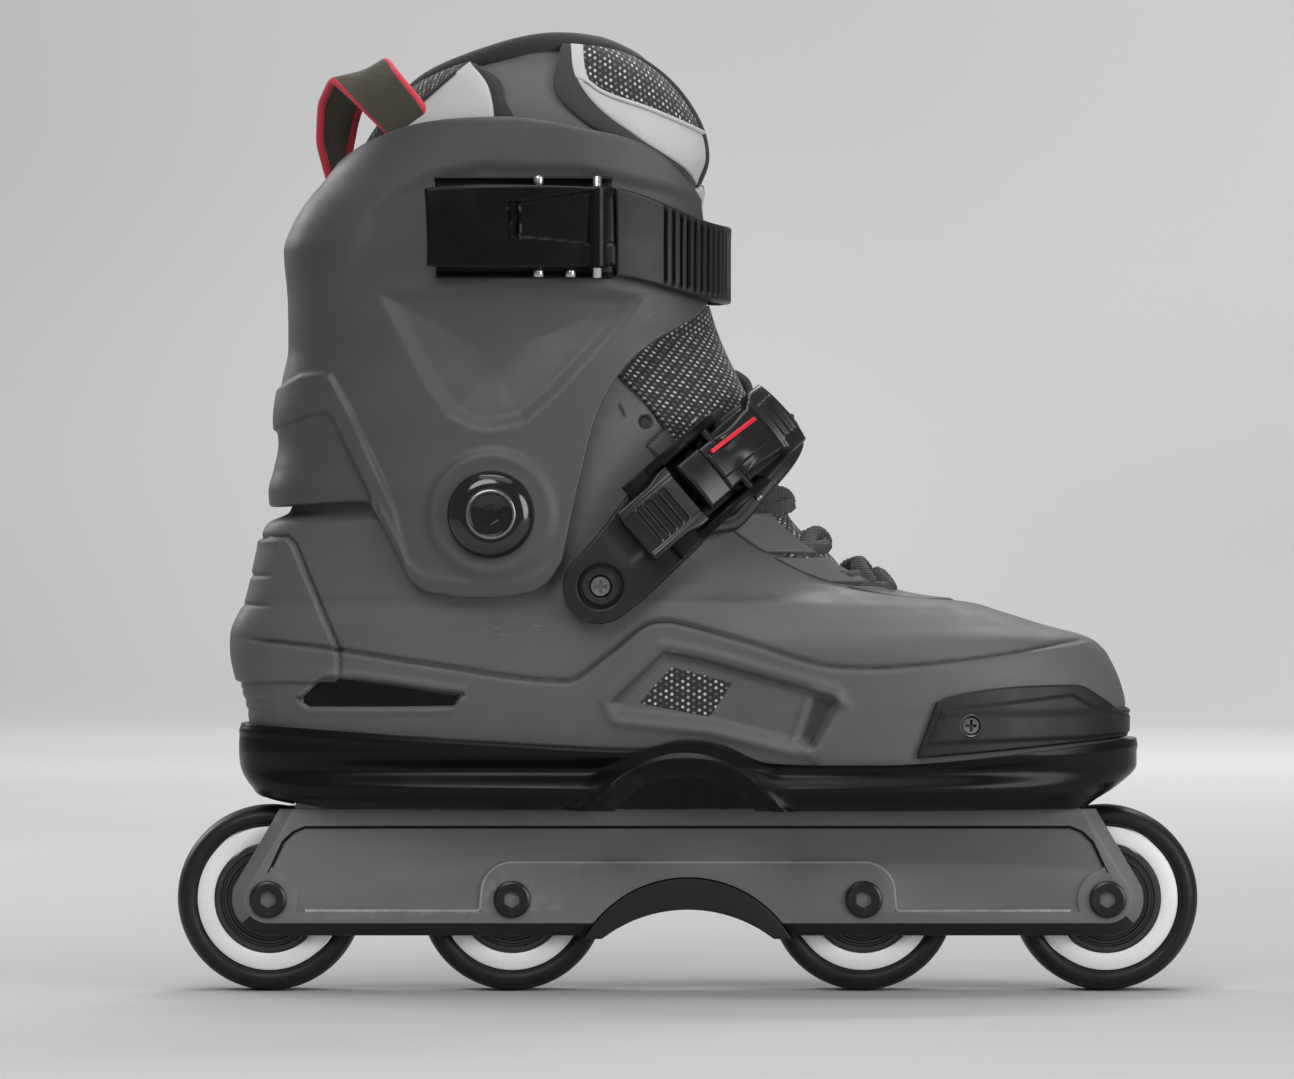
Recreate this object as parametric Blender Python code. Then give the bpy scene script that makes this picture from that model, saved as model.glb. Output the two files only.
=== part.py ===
"""One right inline skate with a hard boot, built piece by piece.

+Z is up, +X points to the toe and +Y to the inner (medial) side of the foot. The origin is on the
ground in the middle of the wheelbase. Lengths below are in millimetres; MM turns them into metres.
"""

from math import asin, cos, pi, radians, sin, sqrt

import bmesh
import bpy
import numpy as np
from mathutils import Vector

MM = 0.001
GAP = 0.35  # clearance between touching pieces

# Wheels and frame
WHEEL_X = (-130.5, -54.7, 54.7, 130.5)
WHEEL_RADIUS = 29.0
TREAD_HALF = 8.5
FACETS = 32
AXLE_RADIUS = 3.85
BOLT_HEAD_RADIUS = 5.8
WALL_IN, WALL_OUT = 13.5, 19.5
FRAME_TOP = 57.1
DECK_TOP, DECK_BOTTOM, DECK_X = 66.0, 60.3, 122.0
CHAMFER = 4.0
FRAME_BOLT_X = 82.5
ARCH_RADIUS, ARCH_TOP = 37.3, 35.9
GROOVE_RADIUS, GROOVE_TOP = 43.8, 25.8
BLOCK_BOTTOM = 16.7

# Boot levels
SOLE_BOTTOM, POCKET_TOP, TRAY_FLOOR = 57.4, 66.35, 70.5
SHELL_BOTTOM, SHELL_WALL = 70.85, 3.4
PAD_TOP, LINER_BOTTOM, LINER_WALL = 79.6, 79.95, 5.0

# Joints
CUFF_PIVOT = (-60.7, 0.0, 148.6)
LEVER_PIN_X = -28.0
CUFF_BOLT_RADIUS = 13.5
STRAP_PIVOT = (-27.0, 0.0, 126.5)
STRAP_RISE = radians(40.5)


def smooth(*points):
    """A curve through the points (x, y), in x order, that keeps their rises and falls."""
    x, y = np.array(points, float).T
    step = np.diff(x)
    slope = np.diff(y) / step
    tangent = np.concatenate(([slope[0]], (slope[1:] + slope[:-1]) / 2, [slope[-1]]))
    turning = slope[1:] * slope[:-1] <= 0
    tangent[1:-1][turning] = 0
    limit = 3 * np.minimum(np.abs(np.append(slope, slope[-1])), np.abs(np.append(slope[0], slope)))
    tangent = np.clip(tangent, -limit, limit)

    def value(at):
        at = np.clip(at, x[0], x[-1])
        i = np.clip(np.searchsorted(x, at, side="right") - 1, 0, len(x) - 2)
        t = (at - x[i]) / step[i]
        rise = (3 - 2 * t) * t * t
        lift = t * (1 - t) * step[i]
        return y[i] + (y[i + 1] - y[i]) * rise + lift * ((1 - t) * tangent[i] - t * tangent[i + 1])

    return value


class Skin:
    """A boot surface given by its level outlines: rear end, front end, half width and roundness."""

    def __init__(self, rear, front, half, power):
        self.rear, self.front, self.half, self.power = rear, front, half, power

    def span(self, z, inset):
        low, high = self.rear(z) + inset, self.front(z) - inset
        return (low + high) / 2, (high - low) / 2

    def x(self, angle, z, inset=0.0):
        mid, reach = self.span(z, inset)
        return mid - reach * np.cos(angle)

    def point(self, angle, z, inset=0.0):
        """Angle 0 is the heel, pi the toe; the outer (lateral) side lies between them."""
        x = self.x(angle, z, inset)
        side = np.sin(angle)
        y = -np.sign(side) * np.abs(side) ** self.power(z) * (self.half(x, z) - inset)
        return np.stack((x, np.where(np.abs(side) < 1e-9, 0.0, y), z + 0 * x), axis=-1)

    def angle_at_x(self, x, z, inset=0.0):
        mid, reach = self.span(z, inset)
        return np.arccos(np.clip((mid - x) / reach, -1, 1))

    def angle_at_y(self, y, z, inset=0.0):
        """The angle, on the toe half of the outline, where the half width is y."""
        share = np.clip(y / (self.half(self.front(z), z) - inset), 0, 1)
        return pi - np.arcsin(share ** (1 / self.power(z)))

    def side(self, x, z, inset=0.0):
        return float(-self.point(self.angle_at_x(x, z, inset), np.float64(z), inset)[1])


def mix(low, high, share):
    return low + (high - low) * share


def ease(low, high, at):
    t = np.clip((at - low) / (high - low), 0, 1)
    return t * t * (3 - 2 * t)


FOOT_WIDTH = smooth((-140, 43), (-95, 43.5), (-50, 42), (0, 44), (45, 51.5), (75, 55), (105, 54),
                    (140, 50))
SHAFT_WIDTH = smooth((105, 42.5), (125, 40.8), (148, 40.2), (177, 38.6), (200, 37.5))

SHELL = Skin(
    smooth((70, -136.9), (80, -136.9), (88, -137.8), (95, -139.8), (107, -142.2), (111, -142.1),
           (122, -137.5), (137, -134), (146, -131.4), (149.5, -124.6), (172, -120.5), (200, -117)),
    smooth((70, 135.2), (86, 135.4), (89, 136.9), (95.6, 135.6), (103, 132.5), (107, 129.9),
           (110.7, 124.6), (114.4, 111.1), (118.5, 98), (121.5, 87), (123.5, 69), (127, 56.5),
           (131.7, 46.5), (138, 36.5), (147, 26.5), (160, 18), (177, 9.5), (190, 0.5), (200, -6.5)),
    lambda x, z: mix(FOOT_WIDTH(x), SHAFT_WIDTH(z), ease(105, 135, z)),
    smooth((70, 0.62), (95, 0.66), (115, 0.78), (200, 0.8)),
)
SOLE = Skin(
    smooth((57, -117), (60, -131.5), (64, -136.5), (71, -140), (77, -140.3), (84, -139.5)),
    smooth((57, 124.5), (60, 128), (64, 134), (71, 140.4), (77, 140.3), (84, 140.3)),
    lambda x, z: SOLE_WIDTH(x) - SOLE_CHANNEL(z),
    lambda z: 0.6 + 0 * z,
)
SOLE_WIDTH = smooth((-140, 45), (-95, 48), (-40, 50), (0, 53), (40, 58.5), (72, 60), (105, 58.5),
                    (140, 52))
SOLE_CHANNEL = smooth((57, 9), (60.5, 3), (64, 1.2), (69.5, 4.5), (75, 0), (84, 0))
CUFF = Skin(
    smooth((120, -135), (151, -130.8), (156, -131), (163, -129.3), (171, -127.9), (178, -128.6),
           (190, -127), (201, -125), (216, -125.2), (231, -126.4), (238.6, -124), (246, -119.6),
           (253.6, -113.3), (262, -107), (272, -100)),
    smooth((120, 45), (134, 44), (150, 42), (165, 38), (180, 31), (199, 19), (209, 11.3), (217, 9.3),
           (231, 9.3), (240, 9.6), (250, 10.5), (272, 11)),
    smooth((120, 46.4), (148, 46.5), (180, 45.2), (215, 44.4), (245, 45), (272, 46)),
    lambda z: 0.8 + 0 * z,
)
CUFF.half = (lambda curve: lambda x, z: curve(z) + 0 * x)(CUFF.half)
COLLAR_WIDTH = smooth((200, 37.6), (217, 38), (245, 38.8), (262, 39.8), (280, 39), (298, 34))
COLLAR = Skin(
    smooth((200, -117.5), (231, -118.5), (246, -111.5), (256, -105.5), (270, -97), (284, -85), (298, -62)),
    smooth((200, 8), (208, 5.5), (214, 3.6), (231, 3.6), (244, 2.4), (252, 4), (260, 6.6), (273, 3),
           (287, -9), (298, -28)),
    lambda x, z: COLLAR_WIDTH(z) + 0 * x,
    lambda z: 0.8 + 0 * z,
)

RIM_GAP = 0.9  # clearance between curved skins, whose facets don't line up
THROAT = smooth((121, 0), (122.5, 6), (126, 12.5), (135, 16), (150, 19), (177, 22), (200, 26))
SHELL_RIM = smooth((-142, 171), (-105, 172), (-75, 180), (-40, 195), (-20, 199.5), (0, 199.5))
SOLE_RIM = smooth((-140, 83.7), (-60, 79), (-14, 77), (-1, 79.6), (9, 78.4), (25, 72.2), (54, 71.5), (140, 79))
CUFF_LOW = smooth((-132, 151), (-100, 152.5), (-93, 143), (-85, 127.5), (-75, 123.6), (-65, 122.8),
                  (-49, 124.3), (-42.5, 128.5), (-38, 135.5))
CUFF_HIGH = smooth((-116, 255), (-98, 265.5), (-81, 270.2), (-57.5, 271.2), (-33, 267.7), (-9, 260.5),
                   (3, 249), (8, 242))
CUFF_EDGE = smooth((134, -38.8), (158.6, -33.4), (183.4, -26), (196, -17.5), (203, -9), (209, 1),
                   (214, 6.4), (220, 7.3), (231, 7.3), (240, 6.3), (250, 4.3))
COLLAR_HIGH = smooth((-108, 255), (-100, 268), (-86, 282.5), (-62, 293), (-40, 297.6), (-24, 295.5),
                     (-14, 290.5), (-7, 285.5), (1, 275), (7, 261))


# ---- shape helpers -------------------------------------------------------------------------

def material(name, colour, roughness, metallic=0.0):
    found = bpy.data.materials.get(name)
    if found:
        return found
    made = bpy.data.materials.new(name)
    made.use_nodes = True
    shader = made.node_tree.nodes["Principled BSDF"]
    shader.inputs["Base Color"].default_value = (*colour, 1)
    shader.inputs["Roughness"].default_value = roughness
    shader.inputs["Metallic"].default_value = metallic
    return made


def place(name, work, finish=None, pivot=None):
    """Makes an object of a bmesh in millimetres; a moving piece hangs on the empty at its pivot."""
    bmesh.ops.remove_doubles(work, verts=work.verts, dist=1e-4)
    bmesh.ops.dissolve_degenerate(work, dist=1e-4, edges=work.edges)
    bmesh.ops.recalc_face_normals(work, faces=work.faces)
    if work.calc_volume(signed=True) < 0:
        bmesh.ops.reverse_faces(work, faces=work.faces)
    at = Vector(pivot.location) / MM if pivot else Vector()
    for vert in work.verts:
        vert.co = (vert.co - at) * MM
    mesh = bpy.data.meshes.new(name)
    work.to_mesh(mesh)
    work.free()
    made = bpy.data.objects.new(name, mesh)
    bpy.context.collection.objects.link(made)
    if finish:
        mesh.materials.append(material(*finish))
    mesh.shade_smooth()
    mesh.set_sharp_from_angle(angle=radians(35))
    if pivot:
        made.parent = pivot
    return made


def empty(name, location):
    made = bpy.data.objects.new(name, None)
    made.location = Vector(location) * MM
    bpy.context.collection.objects.link(made)
    return made


def cutter(name, work):
    made = place(name, work)
    made.hide_render = True
    made.display_type = "WIRE"
    return made


def combine(target, tool, operation="DIFFERENCE"):
    modifier = target.modifiers.new(operation.title(), "BOOLEAN")
    modifier.object = tool
    modifier.operation = operation
    modifier.solver = "EXACT"


def grid(work, points, closed=False):
    """Quads over a grid of points [row][column]; closed joins the last column to the first."""
    verts = [[work.verts.new(p) for p in row] for row in points]
    columns = len(verts[0])
    for low, high in zip(verts, verts[1:]):
        for i in range(columns if closed else columns - 1):
            j = (i + 1) % columns
            work.faces.new((low[i], low[j], high[j], high[i]))
    return verts


def strip(work, first, second):
    for i in range(len(first) - 1):
        work.faces.new((first[i], first[i + 1], second[i + 1], second[i]))


def slab(outer, inner, closed=False):
    """A closed sheet between two grids of points; closed makes it a tube."""
    work = bmesh.new()
    out, into = grid(work, outer, closed), grid(work, inner, closed)
    for row in (0, -1):
        low, high = out[row], into[row]
        if closed:
            low, high = low + low[:1], high + high[:1]
        strip(work, low, high)
    if not closed:
        for column in (0, -1):
            strip(work, [row[column] for row in out], [row[column] for row in into])
    return work


def turned(profile, centre, facets, axis="Y", along=0.0):
    """Spins (radius, height) points about an axis through centre; points on the axis close it."""
    work = bmesh.new()
    rings = []
    for radius, height in profile:
        if radius == 0:
            rings.append([work.verts.new(on_axis(axis, 0, 0, height + along, centre))])
            continue
        turn = [2 * pi * (i + 0.5) / facets for i in range(facets)]
        spots = [on_axis(axis, radius * sin(a), -radius * cos(a), height + along, centre) for a in turn]
        rings.append([work.verts.new(spot) for spot in spots])
    solid_ends = len(rings[0]) == 1
    for low, high in zip(rings, rings[1:] + ([] if solid_ends else rings[:1])):
        for i in range(facets):
            j = (i + 1) % facets
            corners = [low[i % len(low)], low[j % len(low)], high[j % len(high)], high[i % len(high)]]
            work.faces.new(list(dict.fromkeys(corners)))
    return work


def on_axis(axis, u, v, height, centre):
    spot = {"Y": (u, height, v), "Z": (u, v, height), "X": (height, u, v)}[axis]
    return tuple(a + b for a, b in zip(centre, spot))


def prism(outline, low, high):
    """Extrudes an outline of (x, z) points from y = low to y = high."""
    work = bmesh.new()
    ends = [[work.verts.new((x, y, z)) for x, z in outline] for y in (low, high)]
    for end in ends:
        work.faces.new(end)
    strip(work, ends[0] + ends[0][:1], ends[1] + ends[1][:1])
    return work


def box(x, y, z):
    return prism([(x[0], z[0]), (x[1], z[0]), (x[1], z[1]), (x[0], z[1])], *y)


def rod(start, end, radius, facets=12):
    """A straight round rod between two points."""
    start, end = Vector(start), Vector(end)
    work = bmesh.new()
    turn = (end - start).to_track_quat("Z", "Y")
    rings = []
    for spot in (start, end):
        angles = [2 * pi * i / facets for i in range(facets)]
        rings.append([work.verts.new(spot + turn @ Vector((radius * cos(a), radius * sin(a), 0)))
                      for a in angles])
    for ring in rings:
        work.faces.new(ring)
    strip(work, rings[0] + rings[0][:1], rings[1] + rings[1][:1])
    return work


def arc(centre, radius, start, end, steps):
    angles = [mix(start, end, i / steps) for i in range(steps + 1)]
    return [(centre[0] + radius * cos(radians(a)), centre[1] + radius * sin(radians(a))) for a in angles]


def skin_rows(skin, sweep, low, high, shares):
    """(angles, heights) of the rows from low(x) to high(x) up a skin, between the sweep's two ends."""
    across = np.linspace(0, 1, sweep.columns)
    rows = []
    for share in shares:
        z = np.full(across.shape, 150.0)
        for _ in range(40):
            x = skin.x(mix(*sweep(z), across), z)
            z = mix(z, mix(low(x), high(x), share), 0.6)
        ends = sweep(z)
        rows.append((mix(ends[0], ends[1], across), z))
    return rows


class Sweep:
    """The angles that a wrapped piece covers at each height, in a number of columns."""

    def __init__(self, columns, start, end):
        self.columns, self.start, self.end = columns, start, end

    def __call__(self, z):
        return self.start(z), self.end(z)


def level(value):
    return lambda x: value + 0 * x


def wrapped(skin, sweep, low, high, rows, outer, inner):
    spots = skin_rows(skin, sweep, low, high, np.linspace(0, 1, rows))
    return slab(*([skin.point(*spot, inset) for spot in spots] for inset in (outer, inner)))


# ---- finishes ------------------------------------------------------------------------------

SHELL_GREY = ("shell_grey", (0.10, 0.10, 0.105), 0.55)
CUFF_GREY = ("cuff_grey", (0.075, 0.075, 0.08), 0.55)
FRAME_GREY = ("frame_grey", (0.11, 0.11, 0.115), 0.5)
BLACK_NYLON = ("black_nylon", (0.012, 0.012, 0.013), 0.35)
BLACK_RUBBER = ("black_rubber", (0.015, 0.015, 0.016), 0.6)
CORE_WHITE = ("core_white", (0.6, 0.6, 0.6), 0.4)
STEEL = ("steel", (0.6, 0.6, 0.6), 0.3, 1.0)
BLACK_STEEL = ("black_steel", (0.02, 0.02, 0.022), 0.35, 1.0)
LINING = ("lining", (0.05, 0.05, 0.052), 0.9)
WEBBING = ("webbing", (0.06, 0.058, 0.035), 0.85)
FOAM = ("foam", (0.15, 0.15, 0.16), 0.9)


# ---- wheels --------------------------------------------------------------------------------

def wheel(number, x):
    """Tyre, hub and two bearings that spin about an axle bolt, with a spacer between the bearings."""
    centre = (x, 0, WHEEL_RADIUS)
    spin = empty(f"wheel_{number}_spin", centre)
    tread = WHEEL_RADIUS / cos(pi / FACETS)
    tyre = [(22.6, -10.4), (25, -11.8), (27.3, -11.3), (tread, -TREAD_HALF)]
    tyre += [(radius, -y) for radius, y in reversed(tyre)]
    place(f"tyre_{number}", turned(tyre, centre, FACETS), BLACK_RUBBER, spin)
    hub = [(9.2, -4.7), (11.3, -4.7), (11.3, -12), (22.2, -10)]
    hub += [(radius, -y) for radius, y in reversed(hub)]
    place(f"hub_{number}", turned(hub, centre, 20), CORE_WHITE, spin)
    for side, name in ((-1, "lateral"), (1, "medial")):
        race = [(4.3, side * 5), (10.9, side * 5), (10.9, side * 11.9), (4.3, side * 11.9)]
        place(f"bearing_{name}_{number}", turned(race, centre, 12), STEEL, spin)
    sleeve = [(4.3, -4.7), (6, -4.7), (6, 4.7), (4.3, 4.7)]
    place(f"spacer_{number}", turned(sleeve, centre, 12), STEEL)
    half = [(0, -21.3), (BOLT_HEAD_RADIUS, -21.3), (BOLT_HEAD_RADIUS, -WALL_OUT - GAP),
            (AXLE_RADIUS, -WALL_OUT - GAP)]
    bolt = half + [(radius, -y) for radius, y in reversed(half)]
    place(f"axle_{number}", turned(bolt, centre, 12), BLACK_STEEL)


# ---- frame ---------------------------------------------------------------------------------

def frame_outline(shrink):
    """Half of the side view's outline, rear end: down the slope, round the end axle, bottom edge."""
    centre = (WHEEL_X[0], WHEEL_RADIUS)
    return ([(-127 + shrink * 1.1, FRAME_TOP)]
            + arc(centre, 11.4 - shrink, 158, 270, 5))


def mirrored(half):
    return half + [(-x, z) for x, z in reversed(half)]


def panel_outline():
    """The shallow panel in a frame wall, which runs round the bolts and over the middle island."""
    half = [(-119, 51.7), (-126, 47), (-129.5, 39.5)]
    half += arc((WHEEL_X[0], WHEEL_RADIUS), 9.4, 78, -24, 3)
    half += [(-64.2, 25.3)]
    half += arc((WHEEL_X[1], 31), 9.5, 180, 90, 3)
    return mirrored(half)


def frame():
    """A channel of two walls under a deck, open between its three pairs of cross webs."""
    work = bmesh.new()
    faces = [(-WALL_OUT, CHAMFER), (CHAMFER - WALL_OUT, 0), (WALL_OUT - CHAMFER, 0), (WALL_OUT, CHAMFER)]
    rings = []
    for y, shrink in faces:
        rings.append([work.verts.new((x, y, z)) for x, z in mirrored(frame_outline(shrink))])
    for low, high in zip(rings, rings[1:]):
        strip(work, low + low[:1], high + high[:1])
    work.faces.new(rings[0])
    work.faces.new(rings[-1])
    made = place("frame", work, FRAME_GREY)
    deck = cutter("guide_deck", box((-DECK_X, DECK_X), (-19, 19), (50, DECK_TOP)))
    combine(made, deck, "UNION")
    web = ((-97, -91), (91, 97))
    bays = ((-150, web[0][0]), (web[0][1], web[1][0]), (web[1][1], 150))
    for i, bay in enumerate(bays):
        combine(made, cutter(f"guide_bay_{i}", box(bay, (-WALL_IN, WALL_IN), (0, DECK_BOTTOM))))
    opening = arch_outline(ARCH_RADIUS)
    opening = [(opening[0][0], 0)] + opening + [(opening[-1][0], 0)]
    combine(made, cutter("guide_arch", prism(opening, -25, 25)))
    for side in (-1, 1):
        low, high = sorted((side * (WALL_OUT - 1), side * (WALL_OUT + 2)))
        combine(made, cutter(f"guide_panel_{side + 1}", prism(panel_outline(), low, high)))
    for i, x in enumerate(WHEEL_X):
        bore = turned([(0, -25), (4.3, -25), (4.3, 25), (0, 25)], (x, 0, WHEEL_RADIUS), 12)
        combine(made, cutter(f"guide_axle_{i}", bore))
    for side, name in ((-1, "heel"), (1, "toe")):
        x = side * FRAME_BOLT_X
        hole = turned([(0, 50), (4.4, 50), (4.4, 70), (0, 70)], (x, 0, 0), 12, "Z")
        combine(made, cutter(f"guide_{name}_hole", hole))
        seat = DECK_BOTTOM - GAP
        bolt = [(0, 55.4), (6.4, 55.4), (6.4, seat), (3.9, seat), (3.9, 69.7), (0, 69.7)]
        place(f"{name}_frame_bolt", turned(bolt, (x, 0, 0), 12, "Z"), BLACK_STEEL)


def arch_outline(radius):
    """The arch between the middle wheels, down to the level of the grind block's feet."""
    centre = (0, ARCH_TOP - ARCH_RADIUS)
    low = np.degrees(asin((BLOCK_BOTTOM - centre[1]) / ARCH_RADIUS))
    return arc(centre, radius, low, 180 - low, 10)


def h_block():
    """The grind block: a crescent under the frame's arch, narrow between the middle wheels."""
    inner = (0, GROOVE_TOP - GROOVE_RADIUS)
    edge = np.degrees(asin((BLOCK_BOTTOM - inner[1]) / GROOVE_RADIUS))
    outline = arch_outline(ARCH_RADIUS - GAP) + arc(inner, GROOVE_RADIUS, 180 - edge, edge, 8)
    made = place("h_block", prism(outline, -20, 20), BLACK_NYLON)
    for side in (-1, 1):
        low, high = sorted((side * 23.5, side * 40))
        combine(made, cutter(f"guide_block_{side + 1}", box((low, high), (-13.8, 13.8), (0, 60))))


# ---- boot ----------------------------------------------------------------------------------

def soulplate():
    """The wide sole: a tray for the shell above, a pocket for the frame's deck below."""
    work = bmesh.new()
    turn = np.linspace(0, 2 * pi, 49)[:-1]
    rows = [SOLE.point(turn, np.full(turn.shape, z)) for z in (SOLE_BOTTOM, 60.2, 64, 69.5, 72)]
    rim = SOLE.point(turn, np.full(turn.shape, 77.0))
    rim[:, 2] = SOLE_RIM(rim[:, 0])
    wall = np.full(turn.shape, 75.0)
    inner = SHELL.point(turn, wall, -RIM_GAP)
    lip = inner.copy()
    lip[:, 2] = SOLE_RIM(inner[:, 0])
    inner[:, 2] = TRAY_FLOOR
    verts = grid(work, rows + [rim, lip, inner], closed=True)
    work.faces.new(verts[0])
    work.faces.new(verts[-1])
    made = place("soulplate", work, BLACK_NYLON)
    pocket = box((-DECK_X - 0.5, DECK_X + 0.5), (-19.5, 19.5), (50, POCKET_TOP))
    combine(made, cutter("guide_pocket", pocket))
    combine(made, cutter("guide_wells", box((-146, 146), (-14.2, 14.2), (50, 60.6))))
    for side in (-1, 1):
        for name, radius, top, near in (("lip", 32, 71.6, 49), ("groove", 27.5, 68, 22)):
            low, high = sorted((side * near, side * 70))
            wall = [(0, low), (radius, low), (radius, high), (0, high)]
            notch = turned(wall, (-1, 0, top - radius), 24)
            combine(made, cutter(f"guide_{name}_{side + 1}", notch))
    for side, name in ((-1, "heel"), (1, "toe")):
        hole = turned([(0, 60), (4.3, 60), (4.3, 75), (0, 75)], (side * FRAME_BOLT_X, 0, 0), 12, "Z")
        combine(made, cutter(f"guide_{name}_thread", hole))


def throat_angles(columns, spare=0.0):
    """Right round the heel, as far as the throat's two edges, and closed where there is no throat."""
    end = lambda z: SHELL.angle_at_y(np.where(THROAT(z) > 1.5, THROAT(z) + spare, 0), z)
    return Sweep(columns, lambda z: -end(z), end)


def lowered(skin, drop):
    """The same skin with the slope of the toe and the instep moved down."""
    return Skin(skin.rear, lambda z: skin.front(z + drop), skin.half, skin.power)


def boot_solid(skin, sweep, floor, high, shares, outer, inner, thick):
    """A boot with a sole: an outer and an inner skin from the floor to a rim, open at the throat."""
    work = bmesh.new()
    spots = skin_rows(skin, sweep, level(floor), high, shares)
    out = [skin.point(angle, z, outer) for angle, z in spots]
    core = lowered(skin, thick * 0.65)
    into = [core.point(angle, np.maximum(z, floor + thick), inner) for angle, z in spots]
    out_verts, in_verts = grid(work, out), grid(work, into)
    strip(work, out_verts[-1], in_verts[-1])
    for i in range(len(out) - 1):
        if abs(out[i + 1][0][1]) > 1e-6:
            for column in (0, -1):
                strip(work, [out_verts[i][column], out_verts[i + 1][column]],
                      [in_verts[i][column], in_verts[i + 1][column]])
    work.faces.new(out_verts[0][:-1])
    work.faces.new(in_verts[0][:-1])
    bmesh.ops.triangulate(work, faces=work.faces)
    return work


def side_bore(name, target, spot, radius, side, facets=16):
    """A hole along Y at (x, z) through one side of a piece."""
    hole = turned([(0, 15), (radius, 15), (radius, 75), (0, 75)], (spot[0], 0, spot[1]), facets)
    if side < 0:
        bmesh.ops.scale(hole, vec=(1, -1, 1), verts=hole.verts)
    combine(target, cutter(name, hole))


SIDES = ((-1, "lateral"), (1, "medial"))


def shell():
    shares = (0, 0.1, 0.2, 0.26, 0.31, 0.35, 0.39, 0.43, 0.5, 0.58, 0.65, 0.74, 0.87, 1)
    work = boot_solid(SHELL, throat_angles(29), SHELL_BOTTOM, SHELL_RIM, shares, 0, SHELL_WALL, SHELL_WALL)
    made = place("shell", work, SHELL_GREY)
    for side, name in SIDES:
        side_bore(f"guide_shell_pivot_{name}", made, (CUFF_PIVOT[0], CUFF_PIVOT[2]), 6.62, side)
        side_bore(f"guide_shell_strap_{name}", made, (STRAP_PIVOT[0], STRAP_PIVOT[2]), 3.3, side, 12)
        side_bore(f"guide_shell_guard_{name}", made, GUARD_SCREW, 2.0, side, 8)


GUARD_SCREW = (86.8, 83.7)
GUARD_FACE = 3.0
GUARD_LOW = smooth((60, 73.3), (75, 74.2), (140, 80))
GUARD_HIGH = smooth((66, 88), (75, 91), (80, 93), (118, 96.2), (128, 91), (133, 87.6), (142, 87.6))


def toe_guard():
    start = lambda z: SHELL.angle_at_x(69.5, z)
    sweep = Sweep(23, start, lambda z: 2 * pi - start(z))
    work = wrapped(SHELL, sweep, GUARD_LOW, GUARD_HIGH, 4, -GUARD_FACE, -RIM_GAP)
    made = place("toe_guard", work, BLACK_NYLON)
    for side, name in SIDES:
        side_bore(f"guide_guard_{name}", made, GUARD_SCREW, 2.0, side, 8)
        face = SHELL.side(*GUARD_SCREW) + GUARD_FACE
        screw = [(0, face - 4.4), (1.6, face - 4.4), (1.6, face + 0.9),
                 (4, face + 0.9), (3.4, face + 2), (0, face + 2)]
        work = turned(screw, (GUARD_SCREW[0], 0, GUARD_SCREW[1]), 8)
        bmesh.ops.scale(work, vec=(1, side, 1), verts=work.verts)
        place(f"toe_guard_screw_{name}", work, STEEL)


def heel_inlays():
    """Pointed black inlays low on both sides of the heel."""
    low = smooth((-120, 91.2), (-117, 89.3), (-73, 89.7), (-69, 92.6))
    high = smooth((-120, 92), (-112, 97.8), (-70, 93.6), (-69, 93.4))
    for side, name in SIDES:
        turn = lambda x: lambda z: -side * SHELL.angle_at_x(x, z)
        work = wrapped(SHELL, Sweep(7, turn(-119.5), turn(-70)), low, high, 2, -2.0, -RIM_GAP)
        place(f"heel_inlay_{name}", work, BLACK_NYLON)


def cushion(name, inset, x, z, finish):
    """A flat pad that fills the boot's outline between two levels, from x[0] to x[1]."""
    ends = [SHELL.angle_at_x(end, np.float64(z[0]), inset) for end in x]
    side = np.linspace(*ends, 13)
    turn = np.concatenate((side, -side[::-1]))
    if abs(sin(side[0])) < 1e-3:
        turn = turn[:-1]
    if abs(sin(side[-1])) < 1e-3:
        turn = np.delete(turn, 13)
    work = bmesh.new()
    verts = []
    for height in z:
        ring = SHELL.point(turn, np.full(turn.shape, z[0]), inset)
        ring[:, 2] = height
        verts.append([work.verts.new(p) for p in ring])
        work.faces.new(verts[-1])
    strip(work, verts[0] + verts[0][:1], verts[1] + verts[1][:1])
    place(name, work, finish)


def liner_foot():
    inset = SHELL_WALL + 1.5
    shares = (0, 0.09, 0.2, 0.29, 0.36, 0.42, 0.5, 0.62, 0.75, 0.88, 1)
    sweep = throat_angles(25, 3.0)
    top = smooth((-142, 184), (-40, 190), (0, 182))
    skin = lowered(SHELL, 5.0)
    work = boot_solid(skin, sweep, LINER_BOTTOM, top, shares, inset, inset + LINER_WALL, 4)
    place("liner_foot", work, LINING)


TONGUE_PATH = ((57, 129.4), (50.5, 133.4), (44, 138.2), (35, 145.5), (28, 155.5), (23, 166), (18.5, 177))
LACE_LIFT = 3.1  # from the tongue's face to the middle of the lace
TONGUE_HALF = (6, 8, 10.5, 13, 14.5, 16, 17)


def tongue_lower():
    """The padded tongue that fills the throat, as an arched strip bent up the instep."""
    across = np.linspace(-1, 1, 7)
    path = np.array(TONGUE_PATH)
    run = np.gradient(path, axis=0)
    run /= np.linalg.norm(run, axis=1)[:, None]
    outer, inner = [], []
    for (x, z), (dx, dz), half in zip(path, run, TONGUE_HALF):
        for rows, drop in ((outer, 0), (inner, 5)):
            down = drop + 4 * across ** 2
            rows.append([(x - dz * d, half * a, z + dx * d) for a, d in zip(across, down)])
    place("tongue_lower", slab(outer, inner), LINING)


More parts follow.
